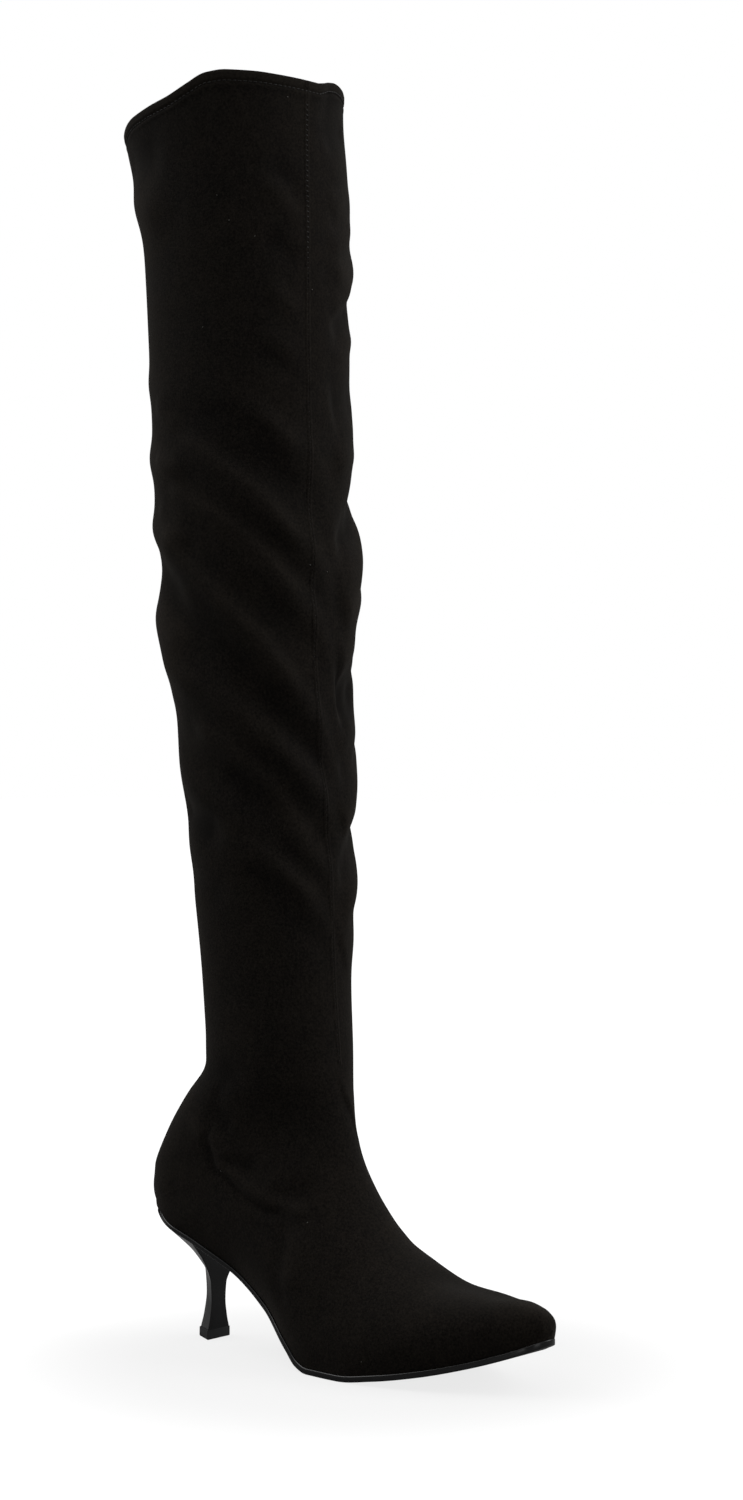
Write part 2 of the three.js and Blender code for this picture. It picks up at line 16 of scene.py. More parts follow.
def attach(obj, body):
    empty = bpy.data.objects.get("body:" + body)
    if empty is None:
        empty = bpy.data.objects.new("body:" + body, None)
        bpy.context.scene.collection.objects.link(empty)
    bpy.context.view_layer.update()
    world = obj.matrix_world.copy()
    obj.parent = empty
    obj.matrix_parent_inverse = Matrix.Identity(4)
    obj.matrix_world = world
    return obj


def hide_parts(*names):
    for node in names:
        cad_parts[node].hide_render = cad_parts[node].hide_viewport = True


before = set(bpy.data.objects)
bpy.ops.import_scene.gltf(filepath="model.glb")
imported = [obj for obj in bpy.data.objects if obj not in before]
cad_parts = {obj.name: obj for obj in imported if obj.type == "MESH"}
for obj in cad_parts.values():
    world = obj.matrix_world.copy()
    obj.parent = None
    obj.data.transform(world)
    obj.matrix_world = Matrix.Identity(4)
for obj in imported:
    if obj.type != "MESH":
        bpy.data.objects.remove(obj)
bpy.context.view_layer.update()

bl_info = {
    "name": "Over-the-knee boot",
    "version": (1, 0, 0),
    "blender": (4, 5, 0),
    "location": "View3D > Sidebar > Boot",
    "description": "Builds a heeled over-the-knee boot over its frame, piece by piece",
    "category": "Object",
}

MM = 0.001
OUTER, INNER = -1, 1
SIDES = (OUTER, INNER)
SIDE_NAMES = {OUTER: "outer", INNER: "inner"}


def table(columns, *rows):
    """Named columns of numbers, a row per section, level or fold."""
    return {name: np.array([row[i] for row in rows], float) for i, name in enumerate(columns.split())}


# Last, in millimetres, as in the frame
FOOT_LENGTH = 251
BALL_WIDTH = 78
SEAT_WIDTH = 55
HEEL_HEIGHT = 71
TOE_SPRING = 28
SEAT_INSET = 3
TOE_DEPTH = 4.5
ANKLE_RISE = 76
ANKLE_DEPTH = 80
ANKLE_WIDTH = 66
ANKLE_OFFSET = 79
LEG_HEIGHT = 502
COLLAR_DEPTH = 116
COLLAR_WIDTH = 110
COLLAR_LEAN = 32
COLLAR_DIP = 21
DIP_REACH = 70
FOLD_HEIGHT = 3
FOLD_WIDTH = 11
WALL = 1.6
SOLE_THICKNESS = 3
WAIST_THICKNESS = 2.2
SOLE_EDGE = 1.2
INSOLE_THICKNESS = 1.8
GAP = 0.3
INSOLE_GAP = 0.5
TIP_LENGTH = 11.4
TIP_WIDTH = 17.6
TIP_BACK_WIDTH = 5.4
TIP_THICKNESS = 5
TIP_OFFSET = 30
BREAST_DEPTH = 42.5
HEEL_INSET = 0.5
ANKLE_HEIGHT = HEEL_HEIGHT + ANKLE_RISE
HALF_BALL = BALL_WIDTH / 2
NEARLY_DOWN = 0.1
TOE_ROWS = 3

# Height of the upper's edge over the floor, as shares of the heel height and the toe spring
SOLE_LINE = table(
    "along heel spring",
    (0.0, 1.0, 0),
    (0.05, 0.965, 0),
    (0.1, 0.88, 0),
    (0.17, 0.775, 0),
    (0.26, 0.61, 0),
    (0.315, 0.49, 0),
    (0.365, 0.365, 0),
    (0.41, 0.24, 0),
    (0.45, 0.125, 0),
    (0.485, 0.03, 0),
    (0.515, 0, 0),
    (0.6, 0, 0),
    (0.68, 0, 0.095),
    (0.78, 0, 0.275),
    (0.86, 0, 0.475),
    (0.93, 0, 0.7),
    (1.0, 0, 0.985),
)

# Upper's edge seen from above, between the seat and the toe tip, as shares of half the ball's width
OUTLINE = table(
    "along outer inner",
    ((SEAT_INSET + SEAT_WIDTH / 2) / FOOT_LENGTH, SEAT_WIDTH / BALL_WIDTH, SEAT_WIDTH / BALL_WIDTH),
    (0.2, 0.66, 0.64),
    (0.28, 0.59, 0.5),
    (0.36, 0.64, 0.47),
    (0.44, 0.82, 0.6),
    (0.52, 0.95, 0.78),
    (0.61, 1.0, 0.92),
    (0.69, 0.95, 0.98),
    (0.78, 0.79, 0.87),
    (0.86, 0.56, 0.64),
    (0.93, 0.34, 0.4),
    (0.97, 0.2, 0.22),
)

# Stations from the ankle to the toe tip, fanning round the heel
FAN = table(
    "base up top over outer inner level high low",
    (0.145, 1, 0.474, 0.96, 0.846, 0.846, 0.5, 2.1, 2.1),
    (0.094, 0.81, 0.477, 0.92, 0.84, 0.84, 0.48, 2.08, 2.1),
    (0.028, 0.5, 0.481, 0.88, 0.81, 0.81, 0.45, 2.05, 2.25),
    (-0.01, 0.22, 0.485, 0.845, 0.8, 0.8, 0.43, 2.02, 2.4),
    (-0.012, 0.1, 0.489, 0.82, 0.79, 0.79, 0.42, 2, 2.4),
    (0, 0, 0.493, 0.797, 0.79, 0.79, 0.41, 2, 2.35),
    (0.005, 0, 0.4943, 0.79, 0.79, 0.79, 0.41, 2, 2.32),
    (0.018, 0, 0.496, 0.78, 0.79, 0.79, 0.4, 2, 2.28),
    (0.045, 0, 0.4985, 0.764, 0.79, 0.79, 0.4, 2, 2.2),
    (0.085, 0, 0.502, 0.744, 0.79, 0.79, 0.4, 2, 2.1),
    (0.15, 0, 0.508, 0.71, 0.81, 0.79, 0.4, 1.95, 2),
    (0.241, 0, 0.522, 0.65, 0.84, 0.8, 0.38, 1.9, 1.95),
    (0.333, 0, 0.548, 0.572, 0.9, 0.82, 0.34, 1.9, 1.9),
    (0.415, 0, 0.589, 0.482, 0.97, 0.87, 0.3, 1.9, 1.85),
    (0.446, 0, 0.609, 0.449, 0.99, 0.895, 0.29, 1.9, 1.8),
    (0.475, 0, 0.63, 0.416, 1.005, 0.92, 0.28, 1.9, 1.8),
    (0.53, 0, 0.665, 0.372, 1.02, 0.96, 0.28, 1.9, 1.8),
    (0.6, 0, 0.709, 0.322, 1.03, 1, 0.27, 1.95, 1.8),
    (0.676, 0, 0.761, 0.269, 0.99, 1.01, 0.27, 2, 1.8),
    (0.777, 0, 0.832, 0.225, 0.83, 0.91, 0.3, 2.1, 1.8),
    (0.868, 0, 0.9, 0.1785, 0.58, 0.66, 0.32, 2.2, 1.8),
    (0.939, 0, 0.952, 0.1345, 0.34, 0.4, 0.34, 2.2, 1.8),
    (0.977, 0, 0.982, 0.1, 0.205, 0.23, 0.36, 2.2, 1.8),
    (0.994, 0, 0.999, 0.064, 0.13, 0.14, 0.4, 2.1, 1.9),
    (1, 0, 1.006, 0, 0, 0, 0.5, 2, 2),
)
SEAT_ROW = 5
FAN_ROWS = len(FAN["base"]) - 1

# Leg from the ankle to the collar
LEG = table(
    "up depth width lean",
    (0.0, 0.0, 0.0, 0.0),
    (0.08, 0.03, 0.03, 0.08),
    (0.2, 0.2, 0.2, 0.18),
    (0.36, 0.45, 0.44, 0.36),
    (0.52, 0.66, 0.66, 0.52),
    (0.7, 0.7, 0.72, 0.66),
    (0.86, 0.78, 0.82, 0.76),
    (1.0, 1.0, 1.0, 1.0),
)

# Collar's drop round the leg, from the front to the back
COLLAR_EDGE = table(
    "turn drop",
    (0.0, 0.0),
    (0.3, 0.0),
    (0.36, 0.08),
    (0.42, 0.32),
    (0.49, 0.55),
    (0.56, 0.65),
    (0.64, 0.74),
    (0.76, 0.94),
    (0.85, 1.0),
    (1.0, 1.0),
)

# Small wave of the collar's edge, in millimetres, and how far down the leg it is felt
COLLAR_WAVE = table(
    "turn outer inner",
    (0.0, -1.8, -1.8),
    (0.03, -1.75, -0.6),
    (0.06, -1.6, 0.9),
    (0.1, -1.3, 1.7),
    (0.15, -0.8, 1.2),
    (0.2, -0.1, 0.4),
    (0.28, 0.6, 0.0),
    (0.34, 1.2, 0.0),
    (0.4, 1.9, 0.0),
    (0.46, 1.6, 0.0),
    (0.53, 0.7, 0.0),
    (0.62, -0.3, 0.0),
    (0.75, 0.0, 0.0),
    (1.0, 0.0, 0.0),
)
WAVE_REACH = 45

# Broad folds of the leg, climbing from the front seam towards the back
FOLDS = table(
    "side front back reach rise",
    (OUTER, 0.6, 0.7, 0.48, 0.4),
    (OUTER, 0.55, 0.68, 0.65, -0.5),
    (OUTER, 0.495, 0.665, 0.8, 0.75),
    (OUTER, 0.465, 0.645, 0.75, -0.5),
    (OUTER, 0.43, 0.61, 0.8, 0.6),
    (OUTER, 0.4, 0.575, 0.7, -0.4),
    (OUTER, 0.325, 0.6, 0.85, 0.7),
    (OUTER, 0.28, 0.545, 0.85, -0.9),
    (OUTER, 0.27, 0.475, 0.95, 0.9),
    (OUTER, 0.225, 0.36, 0.9, -0.9),
    (OUTER, 0.195, 0.32, 0.85, 0.55),
    (OUTER, 0.165, 0.3, 0.6, -0.5),
    (OUTER, 0.14, 0.25, 0.6, 0.4),
    (OUTER, 0.115, 0.21, 0.55, -0.35),
    (INNER, 0.74, 0.86, 0.55, -0.6),
    (INNER, 0.605, 0.75, 0.6, 0.5),
    (INNER, 0.53, 0.7, 0.75, -0.9),
    (INNER, 0.475, 0.65, 0.8, 1.0),
    (INNER, 0.365, 0.55, 0.7, -0.6),
    (INNER, 0.32, 0.5, 0.8, 0.4),
    (INNER, 0.255, 0.42, 0.75, 0.45),
    (INNER, 0.205, 0.35, 0.7, -0.5),
    (INNER, 0.15, 0.28, 0.65, 0.6),
)
FOLD_START, FOLD_END = 0.09, 0.3

# Heel from its tip up to the seat
HEEL = table(
    "up size flare",
    (0.0, 0.92, 0.0),
    (0.12, 0.75, 0.0),
    (0.3, 0.62, 0.0),
    (0.48, 0.62, 0.025),
    (0.6, 0.63, 0.125),
    (0.7, 0.64, 0.285),
    (0.8, 0.64, 0.48),
    (0.9, 0.65, 0.73),
    (1.0, 0.66, 1.0),
)


def mix(a, b, share):
    return a + (b - a) * share


def ease(share):
    share = np.clip(share, 0, 1)
    return share**2 * (3 - 2 * share)


def bell(distance, width):
    """1 at no distance, fading alike on both sides."""
    return np.exp(-((distance / width) ** 2))


def unit(vectors):
    """Vectors of length 1 in the same directions."""
    return vectors / np.maximum(np.linalg.norm(vectors, axis=-1, keepdims=True), 1e-9)


def follow(rows, column, value, key=None):
    """Smooth curve through one column of a table, without overshoot."""
    heights = rows[column]
    places = rows[key] if key else np.arange(len(heights), dtype=float)
    steps = np.diff(heights) / np.diff(places)
    slopes = np.concatenate(([steps[0]], np.zeros(len(heights) - 2), [steps[-1]]))
    before, after = steps[:-1], steps[1:]
    rising = before * after > 0
    slopes[1:-1][rising] = 2 * before[rising] * after[rising] / (before + after)[rising]
    value = np.asarray(value, float)
    i = np.clip(np.searchsorted(places, value) - 1, 0, len(places) - 2)
    span = places[i + 1] - places[i]
    t = np.clip((value - places[i]) / span, 0, 1)
    ends = (1 + 2 * t) * (1 - t) ** 2 * heights[i] + t * t * (3 - 2 * t) * heights[i + 1]
    return ends + span * (t * (1 - t) ** 2 * slopes[i] + t * t * (t - 1) * slopes[i + 1])


def sole_top(along):
    """Height over the floor of the sole's upper face."""
    share = np.clip(np.asarray(along, float) / FOOT_LENGTH, 0, 1)
    heel = follow(SOLE_LINE, "heel", share, "along") * (HEEL_HEIGHT - SOLE_THICKNESS)
    spring = follow(SOLE_LINE, "spring", share, "along") * (TOE_SPRING - SOLE_THICKNESS)
    return SOLE_THICKNESS + heel + spring


def sole_bottom(along):
    """Underside of the sole, which keeps its thickness on the slope."""
    slope = (sole_top(along + 1) - sole_top(along - 1)) / 2
    waist_end = SOLE_LINE["along"][np.argmax(SOLE_LINE["heel"] < NEARLY_DOWN)] * FOOT_LENGTH
    share = ease((along - waist_end + SEAT_WIDTH) / SEAT_WIDTH)
    thickness = mix(WAIST_THICKNESS, SOLE_THICKNESS, share)
    return np.maximum(0, sole_top(along) - thickness * np.hypot(1, slope))


def edge_half_width(along, side):
    """Half width of the upper's edge: a round seat, the outline's table and a round tip."""
    along = np.asarray(along, float)
    seat = SEAT_WIDTH / 2
    from_back, from_tip = along - SEAT_INSET, FOOT_LENGTH - along
    column = SIDE_NAMES[side]
    share = along / FOOT_LENGTH
    drawn = follow(OUTLINE, column, share, "along") * HALF_BALL
    last = OUTLINE["along"][-1]
    reach = np.clip(1 - from_tip / (FOOT_LENGTH * (1 - last)), 0, 1)
    half = np.where(share > last, OUTLINE[column][-1] * HALF_BALL * np.sqrt(1 - reach**2), drawn)
    round_seat = np.sqrt(np.clip(seat**2 - (seat - from_back) ** 2, 0, None))
    half = np.where(from_back < seat, round_seat, half)
    return np.where((from_back <= 0) | (from_tip <= 0), 0, half)


def leg_station(up):
    """Level sections of the leg."""
    depth = mix(ANKLE_DEPTH, COLLAR_DEPTH, follow(LEG, "depth", up, "up"))
    width = mix(ANKLE_WIDTH, COLLAR_WIDTH, follow(LEG, "width", up, "up"))
    middle = ANKLE_OFFSET - COLLAR_LEAN * follow(LEG, "lean", up, "up")
    height = ANKLE_HEIGHT + up * LEG_HEIGHT
    flat = np.zeros_like(up)
    return {
        "base": (middle - depth / 2, height),
        "top": (middle + depth / 2, height),
        "half": {OUTER: width / 2, INNER: width / 2},
        "edge": {OUTER: flat, INNER: flat},
        "level": flat + 0.5,
        "high": flat + FAN["high"][0],
        "low": flat + FAN["low"][0],
    }


def fan_station(row):
    """Sections of the foot, where row 0 is the ankle and the last one the toe tip."""
    base = mix(SEAT_INSET, FOOT_LENGTH, follow(FAN, "base", row))
    top = follow(FAN, "top", row) * FOOT_LENGTH
    on_sole = row >= SEAT_ROW
    counter = mix(sole_top(SEAT_INSET) + GAP, ANKLE_HEIGHT, follow(FAN, "up", row))
    top_up = sole_top(top) + follow(FAN, "over", row) * ANKLE_HEIGHT
    floor_up = sole_top(base) + GAP + TOE_DEPTH * ease(row - (FAN_ROWS - TOE_ROWS))
    return {
        "base": (base, np.where(on_sole, sole_top(base) + GAP, counter)),
        "top": (top, np.maximum(top_up, floor_up)),
        "half": {side: follow(FAN, SIDE_NAMES[side], row) * HALF_BALL for side in SIDES},
        "edge": {side: np.where(on_sole, edge_half_width(base, side), 0) for side in SIDES},
        "level": follow(FAN, "level", row),
        "high": follow(FAN, "high", row),
        "low": follow(FAN, "low", row),
    }


def section_points(station, side, turn):
    """Points of the sections, from the top line (turn 0) down one side to the base (turn 1)."""
    angle = turn * math.pi
    upper = turn <= 0.5
    widest, edge, level = station["half"][side], station["edge"][side], station["level"]
    power = 2 / np.where(upper, station["high"], station["low"])
    across = np.abs(np.sin(angle)) ** power
    up = np.abs(np.cos(angle)) ** power
    lower_half = np.sqrt(edge**2 + (widest**2 - edge**2) * across**2)
    half = np.where(upper, widest * across, lower_half)
    share = np.where(upper, mix(level, 1, up), level * (1 - up))
    (base_x, base_z), (top_x, top_z) = station["base"], station["top"]
    return np.stack([mix(base_x, top_x, share), side * half, mix(base_z, top_z, share)], -1)


def collar_wave(side, turn, up):
    """How far the edge's small wave lifts the leg's upper end."""
    rise = follow(COLLAR_WAVE, SIDE_NAMES[side], turn, "turn")
    return rise * ease(1 - (1 - up) * LEG_HEIGHT / WAVE_REACH)


def collar_dip(up, turn):
    """How far the collar's lower back draws the leg's upper end down."""
    below = (1 - up) * LEG_HEIGHT
    return COLLAR_DIP * follow(COLLAR_EDGE, "drop", turn, "turn") * ease(1 - below / DIP_REACH)


def fold_rise(side, turn, up):
    """How far the broad folds stand out."""
    rise = 0
    for which, front, back, reach, height in zip(*FOLDS.values()):
        if which != side:
            continue
        across = (up - mix(front, back, turn / reach)) * LEG_HEIGHT
        fade = ease(turn / FOLD_START) * ease((reach - turn) / FOLD_END)
        rise = rise + height * fade * bell(across, FOLD_WIDTH)
    return rise * FOLD_HEIGHT


def surface(side, turn, level):
    """Outer face of the upper. level is a share of the leg's height, or minus a place in the fan."""
    turn, level = np.broadcast_arrays(np.asarray(turn, float), np.asarray(level, float))
    up = np.clip(level, 0, 1)
    station = leg_station(up)
    leg = section_points(station, side, turn)
    back, front = station["base"][0], station["top"][0]
    middle, depth = (back + front) / 2, (front - back) / 2
    ahead, aside = (leg[..., 0] - middle) / depth**2, leg[..., 1] / station["half"][side] ** 2
    leg[..., :2] += unit(np.stack([ahead, aside], -1)) * fold_rise(side, turn, up)[..., None]
    leg[..., 2] += collar_wave(side, turn, up) - collar_dip(up, turn)
    foot = section_points(fan_station(np.clip(-level, 0, FAN_ROWS)), side, turn)
    return np.where((level > 0)[..., None], leg, foot)


# Creases over the broad folds: ridges, and troughs with a rise below 0, along points on the upper.
# Rise and width in millimetres, then (turn, level) from end to end.
CREASES = {
    OUTER: (
        (1.2, 4.5, (0.12, 0.617), (0.19, 0.64), (0.29, 0.667)),
        (1.5, 4.5, (0.13, 0.525), (0.25, 0.571), (0.38, 0.604), (0.55, 0.646)),
        (1.65, 4.5, (0.12, 0.468), (0.3, 0.529), (0.45, 0.562), (0.6, 0.592)),
        (1.65, 4.5, (0.14, 0.37), (0.28, 0.43), (0.4, 0.467), (0.5, 0.5), (0.64, 0.55)),
        (1.5, 5, (0.12, 0.232), (0.19, 0.25), (0.38, 0.312), (0.61, 0.354)),
        (1.2, 4.5, (0.1, 0.165), (0.23, 0.196), (0.41, 0.238)),
        (-0.86, 6, (0.12, 0.571), (0.23, 0.617), (0.32, 0.65), (0.55, 0.667)),
        (-0.97, 5.5, (0.13, 0.504), (0.25, 0.542), (0.42, 0.588), (0.56, 0.615)),
        (-0.97, 6, (0.14, 0.44), (0.28, 0.49), (0.42, 0.529), (0.55, 0.558)),
        (-0.97, 6, (0.18, 0.346), (0.28, 0.379), (0.39, 0.421), (0.46, 0.463), (0.57, 0.508)),
        (-0.76, 5, (0.12, 0.25), (0.27, 0.304), (0.4, 0.33)),
        (-0.86, 5, (0.12, 0.2), (0.23, 0.225), (0.39, 0.287), (0.46, 0.304)),
        (-0.9, 5, (0.12, 0.155), (0.33, 0.192), (0.44, 0.2)),
        (1.05, 5, (0.09, 0.845), (0.15, 0.87), (0.24, 0.9)),
        (-0.9, 5, (0.08, 0.868), (0.13, 0.892), (0.2, 0.915)),
        (-1.2, 6, (0.1, 0.8), (0.17, 0.825), (0.24, 0.84)),
        (1.05, 5, (0.1, 0.758), (0.16, 0.773), (0.24, 0.792)),
        (0.75, 5, (0.1, 0.712), (0.17, 0.728), (0.26, 0.745)),
        (-0.9, 5, (0.11, 0.69), (0.18, 0.706), (0.28, 0.722)),
        (1.35, 3, (0.455, -3.6), (0.443, -6.3), (0.435, -8), (0.42, -9.7),
         (0.395, -10.5), (0.335, -11.15), (0.29, -11.9)),
        (-1.7, 2.3, (0.5, -1.9), (0.478, -3.4), (0.464, -5.2), (0.461, -8),
         (0.455, -9.8), (0.417, -10.74), (0.39, -11), (0.37, -11.1)),
        (-0.85, 5, (0.36, -10.9), (0.378, -11.4), (0.41, -11.9), (0.47, -12.2),
         (0.56, -12.6), (0.62, -13.3)),
        (1.2, 6, (0.35, -11.6), (0.38, -12.15), (0.444, -12.54), (0.49, -12.8)),
        (1.35, 5, (0.62, -1.6), (0.55, -2.1), (0.461, -2.89), (0.439, -3.5), (0.4, -5), (0.36, -7)),
        (-1.2, 4.5, (0.44, -4.5), (0.4, -7.5), (0.365, -9.2)),
        (-1.35, 6, (0.389, -10.2), (0.344, -10.7), (0.283, -10.9), (0.222, -10.6)),
        (-1.2, 5, (0.58, -0.7), (0.517, -1.4), (0.45, -2.36), (0.4, -3.1)),
        (3, 13, (0.5, 0.86), (0.72, 0.882), (0.95, 0.9)),
        (-2.2, 11, (0.5, 0.935), (0.65, 0.95), (0.82, 0.962)),
        (1, 8, (0.5, 0.67), (0.68, 0.69), (0.9, 0.71)),
        (2.1, 9, (0.48, 0.59), (0.7, 0.614), (0.92, 0.635)),
        (2.2, 8, (0.5, 0.522), (0.68, 0.541), (0.88, 0.562)),
        (-1.6, 8, (0.5, 0.478), (0.68, 0.5), (0.88, 0.52)),
        (3.4, 11, (0.5, 0.416), (0.72, 0.45), (0.93, 0.472)),
        (1.8, 9, (0.48, 0.38), (0.67, 0.4), (0.9, 0.42)),
        (-3.4, 9, (0.46, 0.23), (0.63, 0.25), (0.85, 0.265)),
        (-1.4, 8, (0.46, 0.17), (0.63, 0.187), (0.85, 0.2)),
        (-1.2, 7, (0.5, 0.335), (0.66, 0.352), (0.85, 0.365)),
        (-2.4, 9, (0.4, -0.5), (0.66, -0.4), (0.98, -0.3)),
        (1.6, 8, (0.6, -4.9), (0.8, -4.9), (0.97, -4.9)),
        (1.1, 4.5, (0.66, 0.68), (0.6, 0.662), (0.5, 0.64)),
        (1.1, 4.5, (0.66, 0.622), (0.6, 0.612), (0.5, 0.6)),
        (1.2, 4.5, (0.67, 0.575), (0.6, 0.55), (0.5, 0.528)),
    ),
    INNER: (
        (-1.2, 6, (0.01, 0.93), (0.08, 0.945), (0.18, 0.955)),
        (0.9, 5, (0.01, 0.9), (0.1, 0.915), (0.2, 0.93)),
        (-1.35, 6, (0.01, 0.855), (0.1, 0.868), (0.22, 0.89)),
        (1.2, 5, (0.01, 0.828), (0.1, 0.842), (0.25, 0.865)),
        (-1.35, 5, (0.01, 0.785), (0.1, 0.8), (0.22, 0.82)),
        (1.05, 4.5, (0.01, 0.768), (0.1, 0.778), (0.22, 0.797)),
        (-1.2, 5, (0.01, 0.746), (0.1, 0.757), (0.22, 0.778)),
        (1.2, 5, (0.01, 0.712), (0.12, 0.73), (0.26, 0.755)),
        (1.35, 5, (0.08, 0.475), (0.3, 0.55), (0.55, 0.615)),
        (-1.2, 5, (0.08, 0.53), (0.3, 0.6), (0.5, 0.645)),
        (0.9, 5, (0.08, 0.295), (0.3, 0.368), (0.55, 0.42)),
        (-1.2, 5.5, (0.08, 0.345), (0.3, 0.413), (0.5, 0.465)),
        (1.05, 5, (0.08, 0.258), (0.3, 0.32), (0.5, 0.365)),
        (-1.05, 5, (0.08, 0.21), (0.3, 0.265), (0.5, 0.3)),
        (0.9, 5, (0.08, 0.155), (0.25, 0.195), (0.45, 0.235)),
        (1.6, 8, (0.6, -4.9), (0.8, -4.9), (0.97, -4.9)),
        (-1.6, 20, (0, 0.99), (0.1, 0.975), (0.35, 0.965)),
        (1.3, 9, (0.02, 0.865), (0.1, 0.872), (0.3, 0.89)),
        (3.2, 10, (0, 0.8), (0.12, 0.804), (0.3, 0.82)),
        (-2.2, 12, (0, 0.666), (0.09, 0.672), (0.28, 0.686)),
        (-1.3, 8, (0, 0.53), (0.1, 0.535), (0.28, 0.55)),
        (1.2, 6, (0.02, 0.612), (0.09, 0.616), (0.28, 0.63)),
        (3.2, 11, (0.02, 0.462), (0.11, 0.468), (0.34, 0.49)),
        (1.9, 11, (0.02, 0.407), (0.09, 0.411), (0.3, 0.429)),
        (-4.2, 14, (0, 0.372), (0.09, 0.377), (0.3, 0.392)),
        (-1.4, 9, (0, 0.302), (0.09, 0.307), (0.3, 0.32)),
        (1.8, 8, (0.02, 0.248), (0.08, 0.253), (0.28, 0.268)),
        (-1, 8, (0, 0.195), (0.08, 0.2), (0.28, 0.215)),
        (-2.2, 15, (0, -16.3), (0.03, -17.8), (0.05, -19.2), (0.06, -20.6)),
        (1.3, 14, (0.02, 0.12), (0.08, 0.125), (0.3, 0.14)),
        (1.6, 12, (0.02, -3.2), (0.06, -3), (0.25, -2.6)),
        (0.8, 4.5, (0.46, -6.5), (0.44, -9.4), (0.39, -10.8), (0.32, -11.7)),
        (-1.1, 4.2, (0.49, -4.2), (0.47, -8.4), (0.45, -10.1), (0.39, -11.3)),
        (-0.7, 5, (0.4, -11.4), (0.42, -12.2), (0.52, -12.9)),
        (1.2, 5, (0.6, -1.8), (0.47, -3), (0.41, -5)),
        (-1.05, 5, (0.56, -0.9), (0.46, -2.4), (0.4, -3.6)),
    ),
}

# Front seam of the leg, on the outer side
FRONT_SEAM = table(
    "level turn",
    (0.0, 0.0),
    (0.12, 0.02),
    (0.222, 0.039),
    (0.37, 0.082),
    (0.52, 0.088),
    (0.67, 0.079),
    (0.77, 0.074),
    (0.872, 0.067),
    (0.924, 0.061),
    (0.976, 0.05),
    (1.0, 0.046),
)

# Pale lint on the nap: the side and (turn, level)
LINT = (
    (OUTER, 0.117, 0.978),
    (OUTER, 0.361, 0.876),
    (OUTER, 0.328, 0.85),
    (OUTER, 0.25, 0.834),
    (OUTER, 0.43, 0.745),
    (OUTER, 0.056, 0.784),
    (OUTER, 0.1, 0.506),
    (OUTER, 0.03, 0.5),
    (OUTER, 0.452, -7.2),
    (OUTER, 0.3, -11.9),
    (OUTER, 0.65, -17.6),
    (INNER, 0.42, 0.63),
    (INNER, 0.3, 0.31),
)

# Rows and columns of the upper's mesh and its lining, with distances in millimetres
SIDE_STEPS = 92
LEG_SPACING = 2
FAN_STEPS = 8
HEM_REACH = 14
HEM_ROWS = 26
LINING_FIRST_ROW = 6
LINING_STEP = 2
CROWDED_ROWS = 0.9

# How far the rows are eased into each other: up the leg as a share, along the foot in fan rows, and
# round the back only from the counter up
SOFTEN_ROUNDS = 60
ANKLE_EASE_UP, ANKLE_EASE_ALONG = 0.03, 1
SEAT_EASE, SEAT_EASE_ALONG = 0.9, 0.7
BACK_TURN, BACK_REACH = 0.82, 0.1
COUNTER_ROWS = 3

# Creases: points drawn for each given one, reach in widths, and longest fade as a share of the length
CREASE_STEPS = 8
CREASE_REACH = 3
CREASE_FADE = 0.3

# Collar's roll, hem and turned-in edges, in millimetres
ROLL_RADIUS = 0.95
ROLL_STEPS = 8
HEM_ROLL, ROLL_START, ROLL_END = 0.45, 1.5, 2
HEM_GROOVE, GROOVE_WIDTH = 0.35, 0.7
HEM_SWELL, SWELL_WIDTH, SWELL_BELOW = 0.2, 1.2, 1.8
FACING_EDGE = 0.8 * WALL
TURNED_IN = 3
TUCK_DEPTH = 0.9 * GAP

# Painted light and shade on the nap: a painted highlight on the hem, painted shade under it, and light and
# shade painted along the hem's roll and groove
HEM_PAINTED_HIGHLIGHT = 1.3
HEM_SHADE, SHADE_BELOW, SHADE_REACH = 1, 9.5, 2.5
HEM_ROLL_PAINTED_SHADING = 1.2

# Seams, in millimetres from the collar and over the seat, and the front one's foot as a share of the leg
SEAM_TOP = 1.2
SEAM_FOOT = 0.004
BACK_SEAM_CLEAR = 4
BACK_SEAM_PITCH = 1.5
# Painted highlight along the front seam's ridge, as a tone added to the nap's painted light and shade
SEAM_PAINTED_HIGHLIGHT = 0.15

# Points along the seams and the hem, and where the front seam's stitches start
SEAM_POINTS = 700
BACK_POINTS, COUNTER_POINTS = 400, 90
HEM_POINTS = 300
STITCHES_START = 15

# Stitches: length in millimetres, lean in radians, and a stitch's end, lift and bed as shares of its thread
FRONT_STITCH_LENGTH, FRONT_STITCH_LEAN = 1.9, 1.25
HEM_STITCH_LENGTH = 2.1
STITCH_SIDES, STITCH_RINGS = 6, 7
STITCH_END = 0.04
STITCH_LIFT, STITCH_BED = 0.35, 0.75

# The front seam's stitches lie up its groove by a share of its height. Below a share of the leg they sink
# in, by millimetres over a stretch in millimetres.
STITCHES_UP = 0.2
STITCHES_SHOW_ABOVE = 0.88
STITCHES_SINK, STITCHES_FADE = 0.35, 60

# Raised seams: how far aside in millimetres, and how high as shares of the seam's height
FRONT_SECTION = (
    (-2.0, -1.5, -0.7, -0.25, 0, 0.25, 0.7, 1.5, 2.0),
    (-0.25, 0.25, 0.6, 0.55, 0.1, 0.55, 0.6, 0.25, -0.25),
)
BACK_SECTION = (
    (-1.6, -1.1, -0.5, -0.15, 0, 0.15, 0.5, 1.1, 1.6),
    (-0.25, 0.2, 0.5, 0.45, 0.05, 0.45, 0.5, 0.2, -0.25),
)

# Bits of lint, in millimetres, and the points of one
LINT_LENGTH = 0.7
LINT_RADIUS = 0.1
LINT_LIFT, LINT_ARCH, LINT_BEND = 0.15, 0.1, 0.15
LINT_SIDES, LINT_RINGS = 5, 6

# Points of the sole's outline: round the seat, along each side and round the tip
SEAT_POINTS, MIDDLE_POINTS, TIP_POINTS = 24, 110, 14

